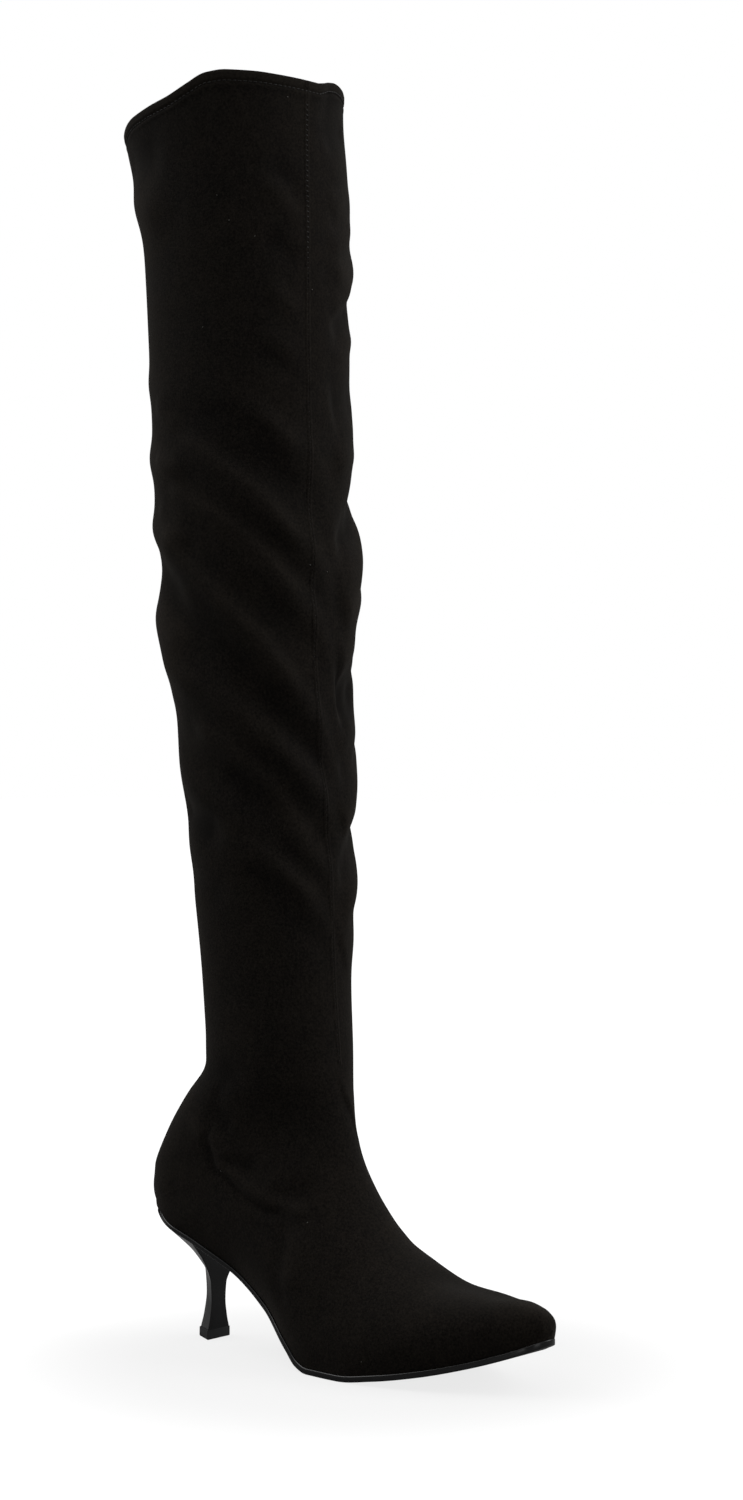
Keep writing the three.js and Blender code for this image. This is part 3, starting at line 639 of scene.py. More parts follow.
# Insole's loops from the lowest up: inset in millimetres and share of the thickness
INSOLE_SECTION = ((0, 0), (0, 0.55), (0.12, 0.8), (0.4, 0.94), (0.9, 1))

# Sole's loops from the lowest up: inset and height in radii of its edge, from the underside (0) or the
# upper face (1)
SOLE_SECTION = (
    (4, 0, 0),
    (1.2, 0, 0),
    (1, 0, 0),
    (0.35, 0.15, 0),
    (0.05, 0.55, 0),
    (0, 1.2, 0),
    (0, -0.9, 1),
    (0.2, -0.35, 1),
    (0.6, 0, 1),
)
UNDERSIDE_LOOPS = 3
SHARP_ANGLE = 50

# How much the sole's edge is trimmed at the seat and the toe tip, and how far along, in millimetres
SEAT_TRIM, SEAT_TRIM_REACH = 2.3, 30
TIP_TRIM, TIP_TRIM_REACH = 1.1, 14

# Heel: share of each side's points that go round the back, rows at its foot as shares of its height,
# and clearances and roundings in millimetres
BACK_SHARE = 0.3
HEEL_POINTS, HEEL_ROWS = 41, 70
HEEL_JOINT = 0.02
HEEL_FOOT_ROWS = (0, 0.0015, 0.004, 0.008)
HEEL_FOOT_INSET = 0.02
HEEL_ROUND, TIP_ROUND = 0.35, 0.25
ROUND_STEPS = 3
ROUND_ANGLE = 40

# Heel tip's loops from the lowest up: size and share of the thickness
TIP_SECTION = ((0.95, 0), (0.98, 0.03), (0.99, 0.12), (0.99, 0.3), (0.985, 0.9), (0.98, 0.97), (0.965, 1))

# Camera, in degrees, metres, pixels of the photo and millimetres
CAMERA_AZIMUTH = 43
CAMERA_DISTANCE = 1.5
CAMERA_HEIGHT = 0.308
CAMERA_ASIDE = 0.0846
FOCAL_PIXELS = 2850
FRAME_HEIGHT = 1500
SENSOR = 24

# Floor, in metres: its two shades in the light, what the camera gets of it, and its glow, weaker at the boot
# to paint a soft shadow there
FLOOR_REACH = 12
FLOOR_LINES = 25
FLOOR_SHADES = (0.22, 0.23)
FLOOR_SEEN = 0.095
BOOT_MIDDLE = (0.1, 0, 0)
GLOW_IN_PAINTED_SHADOW, GLOW_START, GLOW_END = 0.8, 0.1, 0.25

# Light from all round and from above, with the latter's width and tilt in degrees
FILL_LIGHT = 0.22
SKY_LIGHT, SKY_WIDTH, SKY_TILT = 1.9, 110, (-12, 8, 0)

# Soft boxes: name, place, the point they face, size and power
SOFT_BOXES = (
    ("front_softbox", (1.3, -1.5, 0.5), (0.1, 0, 0.3), 1.0, 6),
    ("left_softbox", (-1.3, -0.8, 1.9), (0, 0, 0.35), 1.5, 26),
    ("right_softbox", (1.4, 0.9, 1.2), (0, 0, 0.35), 1.2, 21),
)


def length(name, description, default):
    return FloatProperty(name=name, description=description, default=default, unit="LENGTH")


def factor(name, description, default):
    return FloatProperty(name=name, description=description, default=default, subtype="FACTOR")


def shade(name, description, default):
    return FloatVectorProperty(name=name, description=description, default=default, subtype="COLOR", size=3)


class BootSizes(bpy.types.PropertyGroup):
    """Sizes of the boot's finishing."""

    hem_depth: length("Hem", "Collar's edge to its stitch line", 0.0055)
    facing_depth: length("Facing", "Collar's edge to the end of the turned-in hem", 0.022)
    seam_height: length("Seam height", "How far the leg's seams stand out", 0.0005)
    stitch_pitch: length("Stitch pitch", "From one stitch to the next", 0.0026)
    thread: length("Thread", "Thickness of the sewing thread", 0.0005)
    crease_depth: factor("Creases", "Depth of the creases against the drawn ones", 1.0)
    nap_depth: length("Nap depth", "Depth of the suede's nap", 0.00025)
    sole_round: length("Sole edge", "Radius of the sole's worked edge", 0.0006)
    lint: IntProperty(name="Lint", description="Number of bits of lint on the nap", default=13, min=0, max=13)


class BootFinish(bpy.types.PropertyGroup):
    """Colours and gloss of the boot's materials."""

    suede: shade("Microsuede", "Nap seen square on", (0.0021, 0.0017, 0.0014))
    # The lighter nap gives the brushed and mottled tones, and also the painted highlight on the crests of the
    # folds, creases, hem and front seam
    suede_brushed_and_highlit: shade("Brushed nap", "Nap brushed up", (0.0135, 0.0111, 0.0088))
    sheen: factor("Sheen", "Soft rim of the nap", 0.025)
    lining: shade("Lining", "Knitted lining", (0.012, 0.011, 0.011))
    # Painted shade between the thread's twists, then the thread's own colour on them
    thread_twist_shade: shade("Thread", "Thread between its twists", (0.0025, 0.0022, 0.002))
    thread_light: shade("Thread's twist", "Thread on its twists", (0.007, 0.0063, 0.0056))
    # Painted shade in the lint's folds, then the lint's own pale colour
    lint_fold_shade: shade("Lint", "Lint in its folds", (0.08, 0.077, 0.07))
    lint_light: shade("Lint's edge", "Loose fibres of the lint", (0.22, 0.215, 0.2))
    insole: shade("Insole", "Sock lining", (0.014, 0.012, 0.011))
    sole: shade("Sole", "Sole's underside", (0.006, 0.006, 0.0064))
    lacquer: shade("Heel lacquer", "Heel and sole edge", (0.0018, 0.0018, 0.0019))
    lacquer_roughness: factor("Lacquer roughness", "Roughness of the heel's lacquer", 0.22)


class Field:
    """A material's socket, written as a value in shader maths."""

    def __init__(self, finish, socket):
        self.finish = finish
        self.socket = socket

    def maths(self, operation, *values, clamp=False):
        settings = {"operation": operation, "use_clamp": clamp}
        return self.finish.node("ShaderNodeMath", settings, dict(enumerate(values)))

    def __add__(self, other):
        return self.maths("ADD", self, other)

    def __radd__(self, other):
        return self.maths("ADD", other, self)

    def __sub__(self, other):
        return self.maths("SUBTRACT", self, other)

    def __rsub__(self, other):
        return self.maths("SUBTRACT", other, self)

    def __mul__(self, other):
        return self.maths("MULTIPLY", self, other)

    def __rmul__(self, other):
        return self.maths("MULTIPLY", other, self)

    def clamped(self):
        return self.maths("ADD", self, 0, clamp=True)


class Finish:
    """One procedural material."""

    def __init__(self, name):
        self.material = bpy.data.materials.new(name)
        self.material.use_nodes = True
        self.tree = self.material.node_tree
        self.tree.nodes.clear()
        self.place = self.node("ShaderNodeTexCoord", out="Object")

    def node(self, kind, settings=None, sockets=None, out=0):
        made = self.tree.nodes.new(kind)
        for name, value in (settings or {}).items():
            setattr(made, name, value)
        for name, value in (sockets or {}).items():
            if isinstance(value, Field):
                self.tree.links.new(value.socket, made.inputs[name])
            elif made.inputs[name].type == "RGBA":
                made.inputs[name].default_value = (*value, 1)
            else:
                made.inputs[name].default_value = value
        return Field(self, made.outputs[out])

    def noise(self, scale, detail=3, roughness=0.5, stretch=(1, 1, 1)):
        place = self.node("ShaderNodeMapping", None, {"Vector": self.place, "Scale": stretch})
        sockets = {"Vector": place, "Scale": scale, "Detail": detail, "Roughness": roughness}
        return self.node("ShaderNodeTexNoise", None, sockets, "Fac")

    def band(self, value, low, high):
        """0 below low, 1 above high and smooth between."""
        settings = {"interpolation_type": "SMOOTHSTEP"}
        return self.node("ShaderNodeMapRange", settings, {"Value": value, "From Min": low, "From Max": high})

    def drawn(self, name):
        """A number kept with the mesh's points."""
        return self.node("ShaderNodeAttribute", {"attribute_name": name}, None, "Fac")

    def blend(self, share, a, b):
        return self.node("ShaderNodeMix", {"data_type": "RGBA"}, {0: share, 6: a, 7: b}, 2)

    def bump(self, height, distance, strength):
        sockets = {"Height": height, "Distance": distance, "Strength": strength}
        return self.node("ShaderNodeBump", None, sockets)

    def surface(self, colour, roughness, gloss, **others):
        """The finished material. The other sockets are named as in Blender, in small letters."""
        sockets = {"Base Color": colour, "Roughness": roughness, "Specular IOR Level": gloss}
        for name, value in others.items():
            sockets[name.replace("_", " ").title()] = value
        shader = self.node("ShaderNodeBsdfPrincipled", None, sockets)
        made = self.tree.nodes.new("ShaderNodeOutputMaterial")
        self.tree.links.new(shader.socket, made.inputs["Surface"])
        return self.material


def smooth_path(points, steps):
    """Points along a smooth curve through the given ones."""
    points = np.asarray(points, float)
    padded = np.vstack([2 * points[0] - points[1], points, 2 * points[-1] - points[-2]])
    place = np.linspace(0, len(points) - 1, steps)
    i = np.minimum(place.astype(int), len(points) - 2)
    t = (place - i)[:, None]
    a, b, c, d = (padded[i + k] for k in range(4))
    return 0.5 * (2 * b + (c - a) * t + (2 * a - 5 * b + 4 * c - d) * t**2 + (3 * b - a - 3 * c + d) * t**3)


def crease_rise(points):
    """How far the creases stand out at points on the broad shape."""
    rise = np.zeros(points.shape[:-1])
    for side, height, width, *path in [(side, *row) for side in SIDES for row in CREASES[side]]:
        turn, level = smooth_path(path, CREASE_STEPS * len(path)).T
        line = surface(side, turn, level)
        low, high = line.min(0) - CREASE_REACH * width, line.max(0) + CREASE_REACH * width
        near = np.all((points > low) & (points < high), axis=-1)
        spots = points[near]
        if not len(spots):
            continue
        start, step = line[:-1], np.diff(line, axis=0)
        along = np.einsum("nmk,mk->nm", spots[:, None] - start, step) / np.einsum("mk,mk->m", step, step)
        along = np.clip(along, 0, 1)
        apart = np.linalg.norm(spots[:, None] - start - along[..., None] * step, axis=-1)
        nearest = apart.argmin(1)
        rows = np.arange(len(spots))
        share = (nearest + along[rows, nearest]) / len(step)
        ends = min(CREASE_FADE, CREASE_REACH * width / np.linalg.norm(step, axis=1).sum())
        fade = ease(share / ends) * ease((1 - share) / ends)
        rise[near] += height * fade * bell(apart[rows, nearest], width)
    return rise


def hem_rise(below, hem):
    """The hem's soft roll and the groove that its stitches draw in, by the depth below the collar."""
    roll = HEM_ROLL * ease(below / ROLL_START) * ease((hem - below) / ROLL_END)
    groove = HEM_GROOVE * bell(below - hem, GROOVE_WIDTH)
    return roll - groove + HEM_SWELL * bell(below - hem - SWELL_BELOW, SWELL_WIDTH)


def skin(side, turn, level):
    """Points on the finished upper and the directions straight out of it."""
    upper = bpy.data.objects["boot_upper"].data
    corners = [vertex.co / MM for vertex in upper.vertices]
    tree = BVHTree.FromPolygons(corners, [tuple(face.vertices) for face in upper.polygons])
    turn, level = np.broadcast_arrays(np.asarray(turn, float), np.asarray(level, float))
    found = [tree.find_nearest(Vector(spot - (TIP_OFFSET, 0, 0))) for spot in surface(side, turn, level)]
    spots = np.array([place for place, *_ in found]) + (TIP_OFFSET, 0, 0)
    out = np.array([straight for _, straight, *_ in found])
    return spots, even(out)


def even(rows, width=3):
    """Directions averaged with their neighbours, each of length 1."""
    if len(rows) > 2 * width:
        padded = np.vstack([rows[:1]] * width + [rows] + [rows[-1:]] * width)
        rows = sum(padded[k : k + len(rows)] for k in range(2 * width + 1))
    return unit(rows)


def numbered(rows, columns, first=0):
    """Point numbers of a grid, row by row."""
    return first + np.arange(rows * columns).reshape(rows, columns)


def grid_faces(ids, closed=False, flip=False):
    """Quads between the rows of a grid of point numbers, without those that have run together."""
    right = np.roll(ids, -1, axis=1) if closed else ids[:, 1:]
    left = ids if closed else ids[:, :-1]
    quads = np.stack([left[:-1], right[:-1], right[1:], left[1:]], -1).reshape(-1, 4)
    faces = []
    for quad in quads[:, ::-1] if flip else quads:
        face = list(dict.fromkeys(quad.tolist()))
        if len(face) > 2:
            faces.append(face)
    return faces


def point_normals(points, faces):
    """Directions straight out of a mesh at its points."""
    out = np.zeros_like(points)
    corners = np.array([face + [face[-1]] * (4 - len(face)) for face in faces])
    a, b, c, d = (points[corners[:, k]] for k in range(4))
    normal = np.cross(c - a, d - b)
    flat = np.linalg.norm(normal, axis=1) < 1e-12
    normal[flat] = np.cross(b - a, c - a)[flat]
    for k in range(4):
        np.add.at(out, corners[:, k], normal)
    return unit(out)


def piece(name, points, faces, materials, slot, stands_for=(), sharp=None, numbers=None, kinds=None):
    """A mesh of points in the last's millimetres, riding on the boot."""
    points = np.asarray(points, float).reshape(-1, 3) - (TIP_OFFSET, 0, 0)
    mesh = bpy.data.meshes.new(name)
    mesh.from_pydata((points * MM).tolist(), [], faces)
    for title, values in (numbers or {}).items():
        mesh.attributes.new(title, "FLOAT", "POINT").data.foreach_set("value", np.asarray(values, np.float32))
    for material in materials:
        mesh.materials.append(material)
    if kinds is not None:
        mesh.polygons.foreach_set("material_index", kinds)
    mesh.polygons.foreach_set("use_smooth", [True] * len(mesh.polygons))
    if sharp:
        mesh.set_sharp_from_angle(angle=math.radians(sharp))
    made = bpy.data.objects.new(name, mesh)
    bpy.context.collection.objects.link(made)
    if len({i for face in faces for i in face}) < len(points):
        drop_loose(mesh)
    mesh.validate()
    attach(made, "root")
    if stands_for:
        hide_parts(*stands_for)
    return made


def drop_loose(mesh):
    """Takes out the points that no face uses."""
    work = bmesh.new()
    work.from_mesh(mesh)
    bmesh.ops.delete(work, geom=[v for v in work.verts if not v.link_faces], context="VERTS")
    work.to_mesh(mesh)
    work.free()


def both_sides(work):
    """A function of a side and its turns, worked out for each row all round, outer side first."""
    turn = np.linspace(0, 1, SIDE_STEPS + 1)[None, :]
    return np.concatenate([work(OUTER, turn), work(INNER, turn)[:, :0:-1]], axis=1)


def upper_grid():
    """Rows of the upper's outer face, from just under the collar to the toe tip."""
    hem = np.linspace(ROLL_RADIUS, HEM_REACH, HEM_ROWS, endpoint=False)
    below = np.arange(HEM_REACH, LEG_HEIGHT - 1, LEG_SPACING)
    leg = 1 - np.concatenate([hem, below]) / LEG_HEIGHT
    levels = np.concatenate([leg, -np.linspace(0, FAN_ROWS, FAN_ROWS * FAN_STEPS + 1)])
    points = both_sides(lambda side, turn: surface(side, turn, levels[:, None]))
    soften(points, levels, both_sides(lambda side, turn: turn))
    ids = numbered(*points.shape[:2])
    closed = levels >= -SEAT_ROW
    ids[closed, SIDE_STEPS + 1] = ids[closed, SIDE_STEPS]
    points[closed, SIDE_STEPS : SIDE_STEPS + 2, 1] = 0
    ids[-1, SIDE_STEPS + 1 :] = ids[-1, SIDE_STEPS:0:-1]
    return points, ids, levels


def soften(points, levels, turns):
    """Eases the rows into each other where the leg meets the foot and at the seat."""
    ankle = np.where(levels > 0, bell(levels, ANKLE_EASE_UP), bell(levels, ANKLE_EASE_ALONG))
    seat = SEAT_EASE * bell(levels + SEAT_ROW, SEAT_EASE_ALONG)
    near = 0.5 * np.maximum(ankle, seat)[1:-1, None, None]
    off_the_back = 1 - ease((turns - BACK_TURN) / BACK_REACH)[..., None]
    above_the_counter = levels[1:-1, None, None] > -COUNTER_ROWS
    share = near * np.maximum(off_the_back, above_the_counter)
    for _ in range(SOFTEN_ROUNDS):
        points[1:-1] += share * ((points[:-2] + points[2:]) / 2 - points[1:-1])


def upper_faces(ids):
    """Faces of the upper's grid, open along the sole."""
    outer, inner, front = ids[:, : SIDE_STEPS + 1], ids[:, SIDE_STEPS + 1 :], ids[:, [-1, 0]]
    return grid_faces(outer) + grid_faces(inner) + grid_faces(front)


class BOOT_OT_upper(bpy.types.Operator):
    """Make the suede upper with its rolled collar, turned-in hem and knitted lining"""

    bl_idname = "boot.upper"
    bl_label = "Upper and lining"

    def execute(self, context):
        sizes = context.scene.boot_sizes
        hem = sizes.hem_depth / MM
        points, ids, levels = upper_grid()
        faces = upper_faces(ids)
        flat = points.reshape(-1, 3)
        below = np.where(levels > 0, (1 - levels) * LEG_HEIGHT, LEG_HEIGHT)
        columns = points.shape[1]
        rise = crease_rise(flat) * sizes.crease_depth
        total = rise + np.repeat(hem_rise(below, hem), columns)
        edge = np.zeros(ids.shape, bool)
        edge[levels < -SEAT_ROW, SIDE_STEPS : SIDE_STEPS + 2] = True
        total[edge.ravel()] = 0
        finished = flat + point_normals(flat, faces) * total[:, None]
        finished[edge.ravel(), 2] -= TUCK_DEPTH
        out = point_normals(finished, faces)
        # Painted light and shade for the nap's colour, not its shape: a highlight on the hem, shade below it,
        # and light and shade along the hem's roll and groove
        tone = HEM_PAINTED_HIGHLIGHT * (below < hem) - HEM_SHADE * bell(below - SHADE_BELOW, SHADE_REACH)
        rise = rise + np.repeat(tone + HEM_ROLL_PAINTED_SHADING * hem_rise(below, hem), columns)
        self.make_outside(sizes.facing_depth / MM, finished, out, faces, ids, levels, rise)
        self.make_lining(finished, out, ids, levels)
        return {"FINISHED"}

    def make_outside(self, facing, finished, out, faces, ids, levels, rise):
        """Outer face with the collar's roll, its facing inside, and the edge turned in over the sole."""
        rows = [finished]

        def lay(line):
            """Adds a line of points and gives their numbers."""
            first = sum(map(len, rows))
            rows.append(line)
            return first + np.arange(len(line))

        top, level_out = finished[ids[0]], unit(out[ids[0]] * (1, 1, 0))
        lines = [ids[0]]
        for angle in np.linspace(0, math.pi, ROLL_STEPS + 1)[1:]:
            inward = (math.cos(angle) - 1) * ROLL_RADIUS
            lines.append(lay(top + level_out * inward + (0, 0, math.sin(angle) * ROLL_RADIUS)))
        inside = [k for k in range(1, len(levels)) if levels[k] > 1 - facing / LEG_HEIGHT][::2]
        for k, deep in [(k, 2 * ROLL_RADIUS) for k in inside] + [(inside[-1], FACING_EDGE)]:
            lines.append(lay(finished[ids[k]] - out[ids[k]] * deep))
        faces = faces + grid_faces(np.array(lines), closed=True, flip=True)
        open_rows = np.flatnonzero(levels <= -SEAT_ROW)
        for column, way in ((SIDE_STEPS, 1), (SIDE_STEPS + 1, -1)):
            line = ids[open_rows, column]
            edge = finished[line]
            ahead = np.gradient(edge, axis=0)
            inward = unit(np.column_stack([-ahead[:, 1], ahead[:, 0], np.zeros(len(line))])) * way
            width = np.minimum(TURNED_IN, np.abs(edge[:, 1]))[:, None]
            faces += grid_faces(np.column_stack([line, lay(edge + inward * width)]), flip=way < 0)
        up = np.clip(levels, 0, 1)[:, None]
        folds = both_sides(lambda side, turn: fold_rise(side, turn, up)) * (levels > 0)[:, None]
        plain = np.zeros(sum(map(len, rows[1:])))
        # Painted light and shade for the nap's colour: the creases' relief with the hem's tone, and the broad
        # folds' rise
        numbers = {"crease_shading": np.append(rise, plain), "fold_shading": np.append(folds, plain)}
        piece("boot_upper", np.vstack(rows), faces, [suede()], "microsuede", ("upper",), numbers=numbers)

    def make_lining(self, finished, out, ids, levels):
        """Knitted lining inside the wall, left out where the rows crowd at the seat and in the toe tip."""
        room = (np.abs(levels + SEAT_ROW) >= CROWDED_ROWS) & (levels > 1 - FAN_ROWS)
        kept = ids[[k for k in range(LINING_FIRST_ROW, len(levels), LINING_STEP) if room[k]]]
        last = ids.shape[1] - 1
        inner_columns = [*range(SIDE_STEPS + 1, last, LINING_STEP), last]
        parts = (kept[:, : SIDE_STEPS + 1 : LINING_STEP], kept[:, inner_columns], kept[:, [-1, 0]])
        faces = [face for part in parts for face in grid_faces(part, flip=True)]
        piece("boot_lining", finished - out * WALL, faces, [lining()], "microsuede", ("upper",))


def ribbon(line, out, section, height):
    """A strip of the given section laid along a line."""
    aside, up = np.array(section)[:, None, :, None]
    across = unit(np.cross(out, np.gradient(line, axis=0)))
    points = line[:, None] + across[:, None] * aside + out[:, None] * up * height
    return points.reshape(-1, 3), grid_faces(numbered(*points.shape[:2]))


def add_thread(points, faces, middles, radii, beside, out, sides):
    """Adds a closed round thread to the points and faces, along its middle line."""
    ids = numbered(len(middles), sides, len(points))
    for middle, radius in zip(middles, radii):
        for angle in np.linspace(0, 2 * math.pi, sides, endpoint=False):
            points.append(middle + radius * (beside * math.cos(angle) + out * math.sin(angle)))
    faces += grid_faces(ids, closed=True) + [ids[0].tolist(), ids[-1][::-1].tolist()]


def stitches(centres, along, out, length, thickness, lean=0):
    """One mesh of short threads that bed into what they are sewn on."""
    along = unit(along)
    way = along * math.cos(lean) + unit(np.cross(out, along)) * math.sin(lean)
    beside = np.cross(out, way)
    place = np.linspace(-1, 1, STITCH_RINGS)
    radii = thickness / 2 * np.sqrt(np.maximum(STITCH_END, 1 - place**4))
    lifts = thickness * (STITCH_LIFT - STITCH_BED * place**4)
    points, faces = [], []
    for k, centre in enumerate(centres):
        middles = centre + np.outer(place, way[k] * length / 2) + np.outer(lifts, out[k])
        add_thread(points, faces, middles, radii, beside[k], out[k], STITCH_SIDES)
    return np.array(points), faces


def spread(line, pitch):
    """Places at an even pitch along a line, as row numbers with fractions."""
    travelled = np.concatenate(([0], np.cumsum(np.linalg.norm(np.diff(line, axis=0), axis=1))))
    return np.interp(np.arange(pitch / 2, travelled[-1], pitch), travelled, np.arange(len(line)))


def between(values, places):
    """Values at row numbers with fractions."""
    i = np.minimum(places.astype(int), len(values) - 2)
    t = (places - i)[:, None]
    return values[i] * (1 - t) + values[i + 1] * t


class BOOT_OT_stitching(bpy.types.Operator):
    """Sew the collar's hem and the leg's front and back seams"""

    bl_idname = "boot.stitching"
    bl_label = "Hem and seams"

    def execute(self, context):
        sizes = context.scene.boot_sizes
        height, pitch, thread = sizes.seam_height / MM, sizes.stitch_pitch / MM, sizes.thread / MM
        self.make_front_seam(height, pitch, thread)
        self.make_back_seam(height)
        self.make_hem(sizes.hem_depth / MM, pitch, thread)
        return {"FINISHED"}

    def make_front_seam(self, height, pitch, thread):
        """Seam down the front of the leg, with slanting stitches that sink in below the collar."""
        level = np.linspace(1 - SEAM_TOP / LEG_HEIGHT, SEAM_FOOT, SEAM_POINTS)
        line, out = skin(OUTER, follow(FRONT_SEAM, "turn", level, "level"), level)
        self.lay_seam("boot_front_seam", line, out, FRONT_SECTION, height, SEAM_PAINTED_HIGHLIGHT)
        line, out = line[STITCHES_START:], out[STITCHES_START:]
        places = spread(line, pitch)
        centres, outs = between(line, places), between(out, places)
        up = centres[:, 2:] - ANKLE_HEIGHT
        sink = STITCHES_SINK * ease((STITCHES_SHOW_ABOVE * LEG_HEIGHT - up) / STITCHES_FADE)
        centres = centres + outs * (STITCHES_UP * height - sink)
        ways = between(np.gradient(line, axis=0), places)
        points, faces = stitches(centres, ways, outs, FRONT_STITCH_LENGTH, thread, FRONT_STITCH_LEAN)
        piece("boot_front_stitches", points, faces, [thread_finish()], "microsuede", ("upper",))

    def make_back_seam(self, height):
        """Plain closed seam down the back of the leg and the counter."""
        leg = np.linspace(1 - SEAM_TOP / LEG_HEIGHT, 0, BACK_POINTS)
        counter = -np.linspace(0.1, SEAT_ROW - 0.25, COUNTER_POINTS)
        line, out = skin(OUTER, 1, np.concatenate([leg, counter]))
        above_seat = line[:, 2] > sole_top(SEAT_INSET) + BACK_SEAM_CLEAR
        line, out = line[above_seat], out[above_seat]
        places = spread(line, BACK_SEAM_PITCH)
        line, out = between(line, places) * (1, 0, 1), unit(between(out, places) * (1, 0, 1))
        self.lay_seam("boot_back_seam", line, out, BACK_SECTION, height, 0)

    def lay_seam(self, name, line, out, section, height, tone):
        points, faces = ribbon(line, out, section, height)
        flat = np.zeros(len(points))
        # tone paints a highlight along the seam; the back seam gets none
        numbers = {"crease_shading": flat + tone, "fold_shading": flat}
        piece(name, points, faces, [suede()], "microsuede", ("upper",), numbers=numbers)

    def make_hem(self, depth, pitch, thread):
        """Stitch line of the hem, right round the collar."""
        turn = np.linspace(0, 1, HEM_POINTS)
        level = 1 - depth / LEG_HEIGHT
        outer, inner = skin(OUTER, turn, level), skin(INNER, turn[-2:0:-1], level)
        line, out = (np.vstack(both) for both in zip(outer, inner))
        places = spread(line, pitch)
        ways = between(np.gradient(line, axis=0), places)
        points, faces = stitches(between(line, places), ways, between(out, places), HEM_STITCH_LENGTH, thread)
        piece("boot_hem_stitches", points, faces, [thread_finish()], "microsuede", ("upper",))


class BOOT_OT_lint(bpy.types.Operator):
    """Leave a few bits of pale lint on the nap"""

    bl_idname = "boot.lint"
    bl_label = "Lint"

    def execute(self, context):
        points, faces = [], []
        place = np.linspace(-1, 1, LINT_RINGS)
        radii = LINT_RADIUS * np.sqrt(1.05 - place**2)
        for k, (side, turn, level) in enumerate(LINT[: context.scene.boot_sizes.lint]):
            (spot,), (out,) = skin(side, [turn], [level])
            way = unit(np.cross(out, (math.sin(k), math.cos(k), 0.4)))
            beside = np.cross(out, way)
            lifts, bends = LINT_LIFT + LINT_ARCH * (1 - place**2), LINT_BEND * np.sin(3 * place + k)
            middles = spot + np.outer(lifts, out) + np.outer(bends, beside)
            middles += np.outer(place, way * LINT_LENGTH / 2)
            add_thread(points, faces, middles, radii, beside, out, LINT_SIDES)
        piece("boot_lint", points, faces, [lint_finish()], "microsuede")
        return {"FINISHED"}


def outline(grow):
    """Closed outline of the sole seen from above, grown or shrunk along its own normal."""
    seat = SEAT_WIDTH / 2
    tip = OUTLINE["along"][-1] * FOOT_LENGTH
    round_seat = SEAT_INSET + seat * (1 - np.cos(np.linspace(0, math.pi / 2, SEAT_POINTS, endpoint=False)))
    middle = np.linspace(SEAT_INSET + seat, tip, MIDDLE_POINTS, endpoint=False)
    round_tip = mix(tip, FOOT_LENGTH, np.sin(np.linspace(0, math.pi / 2, TIP_POINTS)))
    stations = np.concatenate([round_seat, middle, round_tip])
    outer, inner = (np.stack([stations, side * edge_half_width(stations, side)], -1) for side in SIDES)
    loop = np.vstack([outer, inner[-2:0:-1]])
    along = unit(np.roll(loop, -1, axis=0) - np.roll(loop, 1, axis=0))
    return loop + np.stack([along[:, 1], -along[:, 0]], -1) * grow


def stack(loops):
    """Solid between loops listed from the lowest up, each from its back round by the outer side."""
    size = len(loops[0])
    half = size // 2
    ids = numbered(len(loops), size)
    faces = grid_faces(ids[:, ::-1], closed=True)
    for row, way in ((ids[0], 1), (ids[-1], -1)):
        cap = [[row[0], row[size - 1], row[1]]]
        cap += [[row[i], row[size - i], row[size - i - 1], row[i + 1]] for i in range(1, half - 1)]
        cap.append([row[half - 1], row[half + 1], row[half]])
        faces += [[int(i) for i in face[::way]] for face in cap]
    return np.vstack(loops), faces


class BOOT_OT_insole(bpy.types.Operator):
    """Lay the sock lining inside the upper"""

    bl_idname = "boot.insole"
    bl_label = "Insole"

    def execute(self, context):
        loops = []
        for inset, up in INSOLE_SECTION:
            loop = outline(-WALL - INSOLE_GAP - inset)
            height = sole_top(loop[:, 0]) + GAP + up * INSOLE_THICKNESS
            loops.append(np.column_stack([loop, height]))
        points, faces = stack(loops)
        piece("boot_insole", points, faces, [insole_finish()], "insole", ("insole",), sharp=SHARP_ANGLE)
        return {"FINISHED"}


class BOOT_OT_sole(bpy.types.Operator):
    """Make the thin sole with its worked edge"""

    bl_idname = "boot.sole"
    bl_label = "Sole"

    def execute(self, context):
        radius = context.scene.boot_sizes.sole_round / MM
        plain = outline(0)[:, 0]
        trim = SEAT_TRIM * (1 - ease(plain / SEAT_TRIM_REACH))
        trim += TIP_TRIM * ease((plain - FOOT_LENGTH + TIP_TRIM_REACH) / TIP_TRIM_REACH)
        loops = []
        for inset, up, on_top in SOLE_SECTION:
            loop = outline((SOLE_EDGE - inset * radius - trim)[:, None])
            height = (sole_top if on_top else sole_bottom)(loop[:, 0]) + up * radius
            loops.append(np.column_stack([loop, height]))
        points, faces = stack(loops)
        kinds = [int(max(face) < UNDERSIDE_LOOPS * len(loops[0])) for face in faces]
        materials = [lacquer("boot_sole_edge", 0.3), rubber("boot_sole_underside", 0.55)]
        options = {"sharp": SHARP_ANGLE, "kinds": kinds}
        piece("boot_outsole", points, faces, materials, "outsole", ("outsole",), **options)
        return {"FINISHED"}


